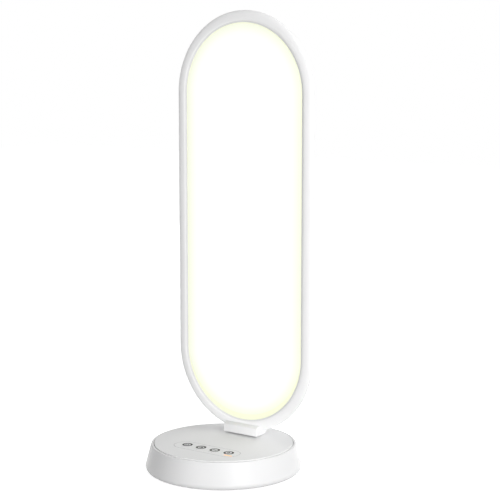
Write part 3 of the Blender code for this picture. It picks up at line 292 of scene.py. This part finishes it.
def soften(piece, width, segments):
    """Rounds the piece's edges, all but the shallow ones."""
    made = piece.modifiers.new("soften", "BEVEL")
    made.width = width * MM
    made.segments = segments
    made.limit_method = "ANGLE"
    made.angle_limit = math.radians(40)
    return settle(piece)


def join(name, pieces):
    """One object from several, at their places."""
    work = bmesh.new()
    for piece in pieces:
        piece.data.transform(piece.matrix_world)
        work.from_mesh(piece.data)
        bpy.data.objects.remove(piece)
    return placed(work, name)


def wear(piece, look, body, slot, *nodes):
    """Gives a piece its material and its body, and hides the CAD nodes that it stands for; the slot
    is not used.
    """
    piece.data.materials.clear()
    piece.data.materials.append(look)
    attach(piece, body)
    if nodes:
        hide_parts(*nodes)
    return piece


# Materials

def new_material(name):
    made = bpy.data.materials.new(name)
    made.use_nodes = True
    tree = made.node_tree
    return made, tree.nodes, tree.links, tree.nodes["Principled BSDF"]


def noise(nodes, links, coords, scale, detail, stretch=None):
    made = nodes.new("ShaderNodeTexNoise")
    made.inputs["Scale"].default_value = scale
    made.inputs["Detail"].default_value = detail
    source = coords.outputs["Object"]
    if stretch:
        mapping = nodes.new("ShaderNodeMapping")
        mapping.inputs["Scale"].default_value = stretch
        links.new(source, mapping.inputs["Vector"])
        source = mapping.outputs["Vector"]
    links.new(source, made.inputs["Vector"])
    return made.outputs["Fac"]


def span(nodes, links, value, low, high, start=0.3, end=0.7):
    """Maps a value from start..end to low..high."""
    made = nodes.new("ShaderNodeMapRange")
    made.inputs["From Min"].default_value = start
    made.inputs["From Max"].default_value = end
    made.inputs["To Min"].default_value = low
    made.inputs["To Max"].default_value = high
    links.new(value, made.inputs["Value"])
    return made.outputs["Result"]


def tint(nodes, links, value, dark, pale, start=0.3, end=0.7):
    """Maps a value from start..end to a colour between dark and pale."""
    ramp = nodes.new("ShaderNodeValToRGB")
    for stop, position, colour in zip(ramp.color_ramp.elements, (start, end), (dark, pale)):
        stop.position = position
        stop.color = (*colour, 1)
    links.new(value, ramp.inputs["Fac"])
    return ramp.outputs["Color"]


def bump(nodes, links, value, distance, strength, before=None):
    made = nodes.new("ShaderNodeBump")
    made.inputs["Strength"].default_value = strength
    made.inputs["Distance"].default_value = distance
    links.new(value, made.inputs["Height"])
    if before:
        links.new(before, made.inputs["Normal"])
    return made.outputs["Normal"]


def maths(nodes, links, operation, a, b):
    """A Math node on two values, each a number or a socket."""
    step = nodes.new("ShaderNodeMath")
    step.operation = operation
    for socket, value in zip(step.inputs, (a, b)):
        if isinstance(value, (int, float)):
            socket.default_value = value
        else:
            links.new(value, socket)
    return step.outputs["Value"]


def plastic(name, dark, pale, rough, waviness=0.00002, grain=None, painted_glow=0.0):
    """Moulded plastic: faint mottling, smudged gloss, slight moulding waviness.

    Grain is the depth and scale of a fine texture. A painted glow gives the plastic a faint
    light of its own, though it is no lamp.
    """
    made, nodes, links, shader = new_material(name)
    coords = nodes.new("ShaderNodeTexCoord")
    cloud = noise(nodes, links, coords, 28, 4)
    links.new(tint(nodes, links, cloud, dark, pale, 0.2, 0.8), shader.inputs["Base Color"])
    smudge = noise(nodes, links, coords, 75, 6)
    links.new(span(nodes, links, smudge, *rough), shader.inputs["Roughness"])
    wave = noise(nodes, links, coords, 160, 2)
    relief = bump(nodes, links, wave, waviness, 0.5)
    if grain:
        depth, scale = grain
        relief = bump(nodes, links, noise(nodes, links, coords, scale, 2), depth, 0.6, relief)
    links.new(relief, shader.inputs["Normal"])
    shader.inputs["IOR"].default_value = 1.49
    # Painted glow: emission on plastic that is no lamp
    if painted_glow:
        shader.inputs["Emission Color"].default_value = (*PAINTED_BEZEL_GLOW, 1)
        shader.inputs["Emission Strength"].default_value = painted_glow
    return made


def metal(name, dark, pale, rough):
    """Metal with fine brush marks and blotched gloss."""
    made, nodes, links, shader = new_material(name)
    coords = nodes.new("ShaderNodeTexCoord")
    brushed = noise(nodes, links, coords, 900, 5, (1, 1, 14))
    links.new(tint(nodes, links, brushed, dark, pale), shader.inputs["Base Color"])
    blotch = noise(nodes, links, coords, 220, 4)
    links.new(span(nodes, links, blotch, *rough), shader.inputs["Roughness"])
    links.new(bump(nodes, links, brushed, 0.00001, 0.5), shader.inputs["Normal"])
    shader.inputs["Metallic"].default_value = 1.0
    return made


def opal(name):
    """Lit diffuser: white in the middle, warmer and dimmer near its rim and at its foot."""
    made, nodes, links, shader = new_material(name)
    coords = nodes.new("ShaderNodeTexCoord")
    split = nodes.new("ShaderNodeSeparateXYZ")
    links.new(coords.outputs["Object"], split.inputs["Vector"])
    x, z = split.outputs["X"], split.outputs["Z"]

    def step(operation, a, b):
        return maths(nodes, links, operation, a, b)

    # Distance from the capsule's middle line, with a slow drift
    middle = (LOWER_Z + UPPER_Z) / 2 * MM
    half = (UPPER_Z - LOWER_Z) / 2 * MM
    rise = step("ABSOLUTE", step("SUBTRACT", z, middle), 0)
    rise = step("MAXIMUM", step("SUBTRACT", rise, half), 0)
    square = step("ADD", step("MULTIPLY", x, x), step("MULTIPLY", rise, rise))
    reach = step("SQRT", square, 0)
    cloud = noise(nodes, links, coords, 60, 3)
    drift = step("MULTIPLY", step("SUBTRACT", cloud, 0.5), 0.002)
    # The dim rim grows a little towards the foot
    sunk = step("SUBTRACT", (LOWER_Z - 8) * MM, z)
    low = step("MULTIPLY", step("MAXIMUM", sunk, 0), 0.085)
    share = step("DIVIDE", step("ADD", step("ADD", reach, drift), low), GLOW_RADIUS)

    ramp = nodes.new("ShaderNodeValToRGB")
    stops = ramp.color_ramp.elements
    for stop, (position, colour) in zip(stops, (GLOW_STOPS[0], GLOW_STOPS[-1])):
        stop.position = position
        stop.color = (*colour, 1)
    for position, colour in GLOW_STOPS[1:-1]:
        stops.new(position).color = (*colour, 1)
    links.new(share, ramp.inputs["Fac"])
    links.new(ramp.outputs["Color"], shader.inputs["Emission Color"])
    shader.inputs["Emission Strength"].default_value = GLOW_STRENGTH
    links.new(tint(nodes, links, cloud, (0.20, 0.20, 0.185), (0.22, 0.22, 0.205)),
              shader.inputs["Base Color"])
    grain = noise(nodes, links, coords, 4200, 2)
    links.new(span(nodes, links, grain, 0.42, 0.52), shader.inputs["Roughness"])
    links.new(bump(nodes, links, grain, 0.00001, 0.4), shader.inputs["Normal"])
    return made


def glow(name, colour, strength):
    """An indicator lens: a warm light, faintly mottled."""
    made, nodes, links, shader = new_material(name)
    coords = nodes.new("ShaderNodeTexCoord")
    cloud = noise(nodes, links, coords, 900, 2)
    for socket, share in (("Base Color", 0.85), ("Emission Color", 0.9)):
        dim = tuple(c * share for c in colour)
        links.new(tint(nodes, links, cloud, dim, colour), shader.inputs[socket])
    links.new(span(nodes, links, cloud, 0.25, 0.4), shader.inputs["Roughness"])
    shader.inputs["Emission Strength"].default_value = strength
    return made


# The gloss of the large white faces stays under roughness 0.27: the denoiser treats a surface
# above it otherwise, and a range across it shows as blotches
GLOSS = (0.20, 0.255)
WHITE = plastic("white_gloss_plastic", (0.860, 0.860, 0.864), (0.874, 0.874, 0.878), GLOSS,
                waviness=0.000006)
# The bezel has a faint painted glow all over
BEZEL = plastic("white_bezel_plastic", (0.898, 0.898, 0.902), (0.910, 0.910, 0.914), GLOSS,
                waviness=0.000006, painted_glow=0.05)
HOUSING = plastic("white_housing_plastic", (0.805, 0.805, 0.809), (0.819, 0.819, 0.823), GLOSS,
                  waviness=0.000006)
PLATE_WHITE = plastic("white_top_plate", (0.866, 0.868, 0.872), (0.880, 0.882, 0.886),
                      (0.42, 0.50), waviness=0.000004)
SATIN = plastic("white_satin_plastic", (0.800, 0.800, 0.805), (0.830, 0.830, 0.835),
                (0.38, 0.50), grain=(0.00003, 3000))
OPAL = opal("opal_diffuser_lit")
INK = plastic("grey_printed_ink", (0.011, 0.010, 0.008), (0.020, 0.017, 0.015), (0.45, 0.60))
PALE_INK = plastic("pale_printed_line", (0.36, 0.36, 0.37), (0.44, 0.44, 0.45), (0.35, 0.5))
AMBER = glow("amber_indicator", (0.92, 0.52, 0.22), 0.5)
STEEL = metal("zinc_plated_steel", (0.52, 0.53, 0.56), (0.68, 0.69, 0.71), (0.29, 0.41))
BRASS = metal("gold_plated_contacts", (0.70, 0.50, 0.20), (0.85, 0.64, 0.30), (0.20, 0.32))
RUBBER = plastic("black_foot_rubber", (0.028, 0.028, 0.030), (0.046, 0.046, 0.048),
                 (0.70, 0.88), grain=(0.00005, 2500))
BOARD = plastic("green_circuit_board", (0.018, 0.150, 0.062), (0.035, 0.220, 0.095),
                (0.35, 0.50), grain=(0.00003, 1800))
FOAM = plastic("dark_conductive_foam", (0.055, 0.055, 0.060), (0.100, 0.100, 0.105),
               (0.85, 0.95), grain=(0.0002, 1500))
FILM = plastic("white_reflector_film", (0.90, 0.90, 0.90), (0.94, 0.94, 0.94), (0.50, 0.62))
ACRYLIC = plastic("light_guide_acrylic", (0.84, 0.89, 0.90), (0.88, 0.93, 0.94), (0.06, 0.12))
STRIP = plastic("white_solder_mask", (0.82, 0.82, 0.78), (0.88, 0.88, 0.84), (0.42, 0.55))
INSULATION = plastic("white_lead_insulation", (0.68, 0.68, 0.68), (0.76, 0.76, 0.76),
                     (0.42, 0.55))


def dress_cad_nodes():
    """Procedural materials for the inner pieces that stay as the CAD shapes them."""
    looks = {
        "steel": STEEL, "board": BOARD, "foam": FOAM, "insulation": INSULATION, "film": FILM,
        "acrylic": ACRYLIC, "strip": STRIP, "rubber": RUBBER, "white_gloss": WHITE,
        "white_matte": SATIN, "opal": OPAL,
    }
    slots = {part["node"]: part["material_slot"] for part in frame["record"]["subparts"]}
    for name, node in frame["nodes"].items():
        node.data.materials.clear()
        node.data.materials.append(looks[slots[name]])


# Screws

def screw_head(name, radius, height, at, axis):
    """A low domed head on a short shank, cross recess on top; its seat is at the place given."""
    curl = height * 0.45
    crown = arc((radius - curl, height * 0.5), curl, 80, 0, 6, height * 0.42)
    profile = [(0.001, height * 0.98), (radius * 0.6, height * 0.96), *crown, (radius, 0),
               (radius * 0.5, 0), (radius * 0.5, -1.2), (0.001, -1.2)]
    head = turned(name, profile, HEAD_STEPS)
    arm = radius * 0.62
    wide = radius * 0.13
    floor = height * 0.30
    cut(head, [box("recess", (-x, -y, floor), (x, y, height + 1))
               for x, y in ((arm, wide), (wide, arm))])
    turn = {
        "-Z": Matrix.Rotation(math.pi, 4, "X"),
        "Y": Matrix.Rotation(-math.pi / 2, 4, "X"),
    }[axis]
    # No two neighbours stop at the same angle: it follows the count of meshes made so far
    spin = Matrix.Rotation(math.radians(17 * (len(bpy.data.meshes) % 7)), 4, "Z")
    head.data.transform(Matrix.Translation(Vector(at) * MM) @ turn @ spin)
    return head


# Base

def make_base():
    lower = arc((67.2, 4.5), 2.8, 18, -90, 18, 3.7)
    upper = rounded([(RIM_INSIDE, SEAT, 0), (RIM_INSIDE, RIM, 0.2), (64.8, RIM, 1.2),
                     (*lower[0], 0)], 8)
    inside = [(66.0, 0.8), (66.0, 12.0), (63.0, 20.5), (57.2, 20.5), (57.2, SEAT),
              (RIM_INSIDE, SEAT)]
    shell = turned("base_shell", [*upper[1:], *lower[1:], *inside], BASE_STEPS, closed=True)
    slot = rounded([(x, INLET_Z + z, 1.75) for x, z in
                    ((-4.8, -1.9), (4.8, -1.9), (4.8, 1.9), (-4.8, 1.9))], 8)
    flare = [(x * 1.10, INLET_Z + (z - INLET_Z) * 1.26) for x, z in slot]
    cut(shell, [loft("slot_cutter", [[(x, y, z) for x, z in line] for line, y in (
        (slot, 60), (slot, 67.9), (flare, 69.4), (flare, 72))])])
    wear(shell, HOUSING, "base", "white_gloss", "base_housing")

    edge = 0.25
    plate = turned("top_plate", [
        (0.001, PLATE), *arc((62.2 - edge, PLATE - edge), edge, 90, 0, 6),
        (62.2, PLATE_BOTTOM), (0.001, PLATE_BOTTOM)], BASE_STEPS)
    cuts = []
    for side in (-1, 1):
        x = side * EAR_X
        cuts.append(box("ear_slot", (x - 1.05, HINGE_Y - 1.9, 20), (x + 1.05, HINGE_Y + 1.9, 30)))
    cuts.append(disc("lead_hole", 1.2, 20, 30, (-15.15, HINGE_Y)))
    cut(plate, cuts)
    wear(plate, PLATE_WHITE, "base", "white_gloss", "top_panel")

    cover = turned("bottom_shell", [(0.001, 0.8), (65.4, 0.8), (65.7, 1.1), (65.7, 3.2),
                                    (0.001, 3.2)], COVER_STEPS)
    seats = {f"cover_screw_{i + 1}": polar(COVER_SCREW_CIRCLE, 45 + 90 * i) for i in range(4)}
    seats["weight_screw_1"] = (-WEIGHT_SCREW_X, 0)
    seats["weight_screw_2"] = (WEIGHT_SCREW_X, 0)
    feet = [polar(FOOT_CIRCLE, 90 * i) for i in range(4)]
    cuts = [disc("screw_sink", 2.9, 0, 2.2, at) for at in seats.values()]
    cuts += [disc("foot_sink", 5.3, 0, 1.6, at) for at in feet]
    cut(cover, cuts)
    wear(cover, SATIN, "base", "white_matte", "bottom_cover")
    for name, at in seats.items():
        head = screw_head(f"{name}_head", 2.6, 1.1, (*at, 1.9), "-Z")
        wear(head, STEEL, "base", "steel", name)
    for i, at in enumerate(feet, 1):
        foot = turned(f"rubber_foot_{i}", [
            (0.001, 0), (4.2, 0), *arc((4.5, 0.5), 0.5, -80, 0, 5), (5.0, 1.3), (0.001, 1.3)],
            FOOT_STEPS)
        foot.data.transform(Matrix.Translation(Vector((*at, 0)) * MM))
        wear(foot, RUBBER, "base", "rubber", f"foot_{i}")


def make_socket():
    """The power inlet: a rounded metal shell with a tongue and its contacts."""
    outer = rounded([(x, INLET_Z + z, 1.5) for x, z in
                     ((-4.5, -1.6), (4.5, -1.6), (4.5, 1.6), (-4.5, 1.6))], 8)
    inner = [(x * 0.912, INLET_Z + (z - INLET_Z) * 0.75) for x, z in outer]
    lip = [((a[0] * 3 + b[0]) / 4, (a[1] * 3 + b[1]) / 4) for a, b in zip(outer, inner)]
    shell = loft("inlet_shell", [[(x, y, z) for x, z in line] for line, y in (
        (outer, 59.9), (outer, 67.15), (lip, 67.3), (inner, 67.2), (inner, 61.1))])
    wear(shell, STEEL, "base", "steel", "usb_c_socket")
    half = 0.35
    tongue = box("inlet_tongue", (-3.3, 61.0, INLET_Z - half), (3.3, 66.3, INLET_Z + half))
    wear(soften(tongue, 0.12, 2), FOAM, "base", "foam")
    pads = []
    for i in range(6):
        x = i - 2.5
        for low in (9.13, 9.83):
            pads.append(box("contact", (x - 0.15, 62.0, low), (x + 0.15, 66.0, low + 0.04)))
    wear(join("inlet_contacts", pads), BRASS, "base", "steel")


# Marks over the touch keys

def printed(name, outline):
    """A flat outline as a thin print on the top plate."""
    return prism(name, outline, PLATE, PLATE + PRINT, "Z")


def ring(outer, inner, at):
    low, high = PLATE, PLATE + PRINT
    return loft("ring", [circle(radius, z, KEY_STEPS, at) for radius, z in (
        (outer, low), (outer, high), (inner, high), (inner, low))], closed=True)


def bar(at, length, width, degrees=0.0):
    """A bar with round ends."""
    half = length / 2 - width / 2
    line = [(half + x, y) for x, y in arc((0, 0), width / 2, -90, 90, 8)]
    line += [(-half + x, y) for x, y in arc((0, 0), width / 2, 90, 270, 8)]
    c, s = polar(1, degrees)
    return printed("bar", [(at[0] + x * c - y * s, at[1] + x * s + y * c) for x, y in line])


def open_ring(outer, inner, at, start, end, steps=40):
    return printed("open_ring", arc(at, outer, start, end, steps)
                   + arc(at, inner, end, start, steps))


def make_marks():
    """Four round keys: power, warmth, dimmer and brighter; ticks, a border and an indicator."""
    xs = [KEY_MIDDLE + KEY_STEP * (k - 1.5) for k in range(4)]
    for k, x in enumerate(xs):
        parts = [ring(*KEY_RING, (x, KEY_ROW))]
        if k == 0:
            parts.append(open_ring(2.0, 1.1, (x, KEY_ROW - 0.2), 125, 415))
            parts.append(bar((x, KEY_ROW + 1.1), 2.4, 0.9, 90))
        elif k == 1:
            parts.append(open_ring(2.0, 1.3, (x, KEY_ROW), 90, 270))
            parts.append(printed("half", arc((x, KEY_ROW), 2.0, -90, 90, 24)))
        else:
            parts.append(bar((x, KEY_ROW), *KEY_BAR))
        if k == 3:
            parts.append(bar((x, KEY_ROW), *KEY_BAR, 90))
        wear(join(f"key_mark_{k + 1}", parts), INK, "base", "foam")
    ticks = [bar((x + dx, KEY_ROW - 7.0), 0.9, 0.5) for x in xs[:3] for dx in (-1.6, 0, 1.6)]
    wear(join("key_ticks", ticks), PALE_INK, "base", "white_matte")
    lens = bar((xs[3] + 4.2, KEY_ROW - 7.2), 8.5, 2.0)
    wear(join("indicator_lens", [lens]), AMBER, "base", "opal")

    half_x, half_y = BORDER_HALF
    outline = rounded([(KEY_MIDDLE + x * half_x, BORDER_Y + y * half_y, BORDER_CORNER)
                       for x, y in ((-1, -1), (1, -1), (1, 1), (-1, 1))], 20)
    inner = [(KEY_MIDDLE + (x - KEY_MIDDLE) * BORDER_INSIDE[0],
              BORDER_Y + (y - BORDER_Y) * BORDER_INSIDE[1]) for x, y in outline]
    low, high = PLATE, PLATE + BORDER_PRINT
    border = loft("key_border", [[(x, y, z) for x, y in line] for line, z in (
        (outline, low), (outline, high), (inner, high), (inner, low))], closed=True)
    wear(border, PALE_INK, "base", "white_matte")


# Panel

def make_frame():
    """The bezel round the light, and the hollow neck block under it with its two knuckles."""
    inner = rounded([(62.4, 1.1, 0), (62.4, 0.85, 0.1), (LIP_RADIUS, 0.395, 0),
                     (65.2, 0.0, 0.5), (66.2, 0.0, 0)], 4)[1:-1]
    front = arc((66.2, 2.9), 6.8, -90, 0, 28, 2.9)
    back = arc((70.8, 2.9), 2.2, 0, 90, 12, 2.7)
    rim = capsule_sweep("frame_ring", [
        *inner, *front, *back[1:], (64.6, 5.6), (64.6, 1.1), (62.4, 1.1)], closed=True)
    neck = prism("neck_block", rounded([
        (25.3, NECK_BOTTOM, 0.4), (25.3, 33.4, 1.2), (29.9, 35.4, 0), (34.0, 35.4, 0),
        (34.0, 40.1, 0), (NECK_BACK, 40.1, 0.8), (NECK_BACK, NECK_BOTTOM, 4.5)], 10),
        -NECK_HALF, NECK_HALF, "X")
    soften(neck, 0.22, 3)
    cavity = [(27.3, 28.0), (27.3, 30.6), (31.3, 34.6), (44, 34.6), (44, 24), (35.76, 24),
              (35.76, 28.0)]
    cut(neck, [
        prism("cavity", cavity, -CAVITY_HALF, CAVITY_HALF, "X"),
        box("hatch_seat", (-CAVITY_HALF, 40.9, 24), (CAVITY_HALF, 44, 38.7)),
        capsule_sweep("pocket", [(64.9, 0.55), (64.9, 6.5)]),
    ])
    hinge = (HINGE_Y, HINGE_Z)
    eyes = []
    for side in (-1, 1):
        low, high = sorted(side * x for x in KNUCKLE)
        outline = [(35.7, 35.0), *arc(hinge, 2.5, 180, 360, 20), (40.7, 35.0)]
        eye = prism("knuckle", outline, low, high, "X")
        eyes.append(cut(eye, [disc("bore", 1.5, low - 1, high + 1, hinge, "X")]))
    wear(rim, BEZEL, "panel", "white_gloss", "panel_frame")
    # Painted shade: the lip next to the diffuser gets the darker housing white and none of the
    # bezel's painted glow, so it reads as a thin dark line
    rim.data.materials.append(HOUSING)
    for face in rim.data.polygons:
        x, _, z = face.center / MM
        if math.hypot(x, max(z - UPPER_Z, LOWER_Z - z, 0)) < LIP_RADIUS:
            face.material_index = 1
    wear(join("neck_shell", [neck, *eyes]), WHITE, "panel", "white_gloss")


def make_panel():
    glass = capsule_sweep("diffuser_face", [
        (30.0, 0.70), (52.0, 0.70), (61.4, 0.70), (61.9, 0.78), (62.1, 1.0), (62.1, 1.4),
        (64.3, 1.4), (64.3, 2.4), (30.0, 2.4)])
    wear(glass, OPAL, "panel", "opal", "diffuser")

    edge = arc((66.5, 5.9), 4.3, 0, 90, 16, 3.1)
    step = rounded([(66.5, 9.0, 0), (65.2, 9.0, 0.2), (64.7, 8.8, 0.2), (60, 8.8, 0)], 3)[1:-1]
    cover = capsule_sweep("rear_shell", [
        (30, 7.4), (64.6, 7.4), (64.6, 5.9), *edge, *step, (60, 8.8), (30, 8.8)])
    places = [(side * REAR_SCREW_X, z) for side in (-1, 1) for z in REAR_SCREW_Z]
    cuts = [box("neck_room", (-18.45, 33, 20), (18.45, 45, 40.4))]
    cuts += [disc("rear_sink", 1.9, REAR_SEAT, 45, at, "Y") for at in places]
    cut(cover, cuts)
    wear(cover, WHITE, "panel", "white_gloss", "rear_cover")
    for i, (x, z) in enumerate(places, 1):
        head = screw_head(f"rear_screw_{i}_head", 1.6, 0.9, (x, REAR_SEAT, z), "Y")
        wear(head, STEEL, "panel", "steel", f"rear_screw_{i}")

    hinge = (HINGE_Y, HINGE_Z)
    hatch = prism("hatch", [
        (41.2, 38.4), (NECK_BACK, 38.4), *arc(hinge, 4.5, 0, -14, 8),
        *arc(hinge, 3.0, -14, 0, 8)], -HATCH_HALF, HATCH_HALF, "X")
    soften(hatch, 0.18, 3)
    cut(hatch, [disc("neck_sink", 1.6, 41.6, 46, (x, NECK_SCREW_Z), "Y") for x in NECK_SCREW_X])
    wear(hatch, WHITE, "panel", "white_gloss", "neck_cover")
    for i, x in enumerate(NECK_SCREW_X, 1):
        head = screw_head(f"neck_screw_{i}_head", 1.3, 0.8, (x, NECK_SEAT, NECK_SCREW_Z), "Y")
        wear(head, STEEL, "panel", "steel", f"neck_screw_{i}")


# Studio

def seen_rays(nodes, links):
    """1 for rays from the camera, in reflections and through clear pieces, and 0 for the rest."""
    path = nodes.new("ShaderNodeLightPath").outputs
    either = maths(nodes, links, "MAXIMUM", path["Is Camera Ray"], path["Is Glossy Ray"])
    return maths(nodes, links, "MAXIMUM", either, path["Is Transmission Ray"])


def make_world():
    """White where it is seen; for the object it is a dim light, most of it from the right."""
    world = bpy.context.scene.world or bpy.data.worlds.new("studio")
    bpy.context.scene.world = world
    world.use_nodes = True
    nodes, links = world.node_tree.nodes, world.node_tree.links
    nodes.clear()
    coords = nodes.new("ShaderNodeTexCoord")
    side = nodes.new("ShaderNodeVectorMath")
    side.operation = "DOT_PRODUCT"
    side.inputs[1].default_value = (1.0, 0.0, 0.0)
    links.new(coords.outputs["Generated"], side.inputs[0])
    fill = nodes.new("ShaderNodeBackground")
    fill.inputs["Color"].default_value = (1, 1, 1, 1)
    links.new(span(nodes, links, side.outputs["Value"], 0.0, FILL_RIGHT, -1.0, 1.0),
              fill.inputs["Strength"])
    seen = nodes.new("ShaderNodeBackground")
    seen.inputs["Color"].default_value = (1, 1, 1, 1)
    mix = nodes.new("ShaderNodeMixShader")
    out = nodes.new("ShaderNodeOutputWorld")
    links.new(seen_rays(nodes, links), mix.inputs["Fac"])
    links.new(fill.outputs[0], mix.inputs[1])
    links.new(seen.outputs[0], mix.inputs[2])
    links.new(mix.outputs[0], out.inputs["Surface"])


def make_floor():
    """A floor that reads as white and keeps the object's shadow."""
    work = bmesh.new()
    work.faces.new([work.verts.new((x * FLOOR_HALF, y * FLOOR_HALF, 0))
                    for x, y in ((-1, -1), (1, -1), (1, 1), (-1, 1))])
    floor = finished(work, "studio_floor")
    paint = bpy.data.materials.new("studio_floor_paint")
    paint.use_nodes = True
    nodes, links = paint.node_tree.nodes, paint.node_tree.links
    nodes.clear()
    seen = seen_rays(nodes, links)
    coat = nodes.new("ShaderNodeBsdfDiffuse")
    links.new(span(nodes, links, seen, FLOOR_LIT, FLOOR_SEEN, 0, 1), coat.inputs["Color"])
    lift = nodes.new("ShaderNodeEmission")
    links.new(maths(nodes, links, "MULTIPLY", seen, FLOOR_LIFT), lift.inputs["Strength"])
    both = nodes.new("ShaderNodeAddShader")
    out = nodes.new("ShaderNodeOutputMaterial")
    links.new(coat.outputs[0], both.inputs[0])
    links.new(lift.outputs[0], both.inputs[1])
    links.new(both.outputs[0], out.inputs["Surface"])
    floor.data.materials.append(paint)


def make_lamp(name, power, azimuth, elevation, width, height):
    """A soft panel that stands clear of the floor and doesn't show in glossy surfaces."""
    data = bpy.data.lights.new(name, "AREA")
    data.shape = "RECTANGLE"
    data.size = width
    data.size_y = height
    data.energy = power
    made = bpy.data.objects.new(name, data)
    made.visible_glossy = False
    a, e = math.radians(azimuth), math.radians(elevation)
    away = Vector((math.sin(a) * math.cos(e), -math.cos(a) * math.cos(e), math.sin(e)))
    turn = away.to_track_quat("Z", "Y").to_matrix().to_4x4()
    made.matrix_world = Matrix.Translation(Vector(LAMP_TARGET) + away * LAMP_DISTANCE) @ turn
    bpy.context.scene.collection.objects.link(made)


def make_camera():
    data = bpy.data.cameras.new("photo_camera")
    data.sensor_width = CAMERA_SENSOR
    data.lens = CAMERA_LENS
    data.clip_start = 0.01
    camera = bpy.data.objects.new("photo_camera", data)
    yaw, dip = math.radians(CAMERA_YAW), math.radians(CAMERA_DIP)
    look = Vector((-math.sin(yaw) * math.cos(dip), math.cos(yaw) * math.cos(dip), -math.sin(dip)))
    right = Vector((math.cos(yaw), math.sin(yaw), 0))
    up = right.cross(look)
    turn = Matrix((right, up, -look)).transposed().to_4x4()
    camera.matrix_world = Matrix.Translation(CAMERA_PLACE) @ turn
    bpy.context.scene.collection.objects.link(camera)
    bpy.context.scene.camera = camera


dress_cad_nodes()
make_base()
make_socket()
make_marks()
make_frame()
make_panel()
make_world()
make_floor()
for lamp in LAMPS:
    make_lamp(*lamp)
make_camera()
bpy.context.scene.view_settings.view_transform = "Standard"

bpy.context.view_layer.update()
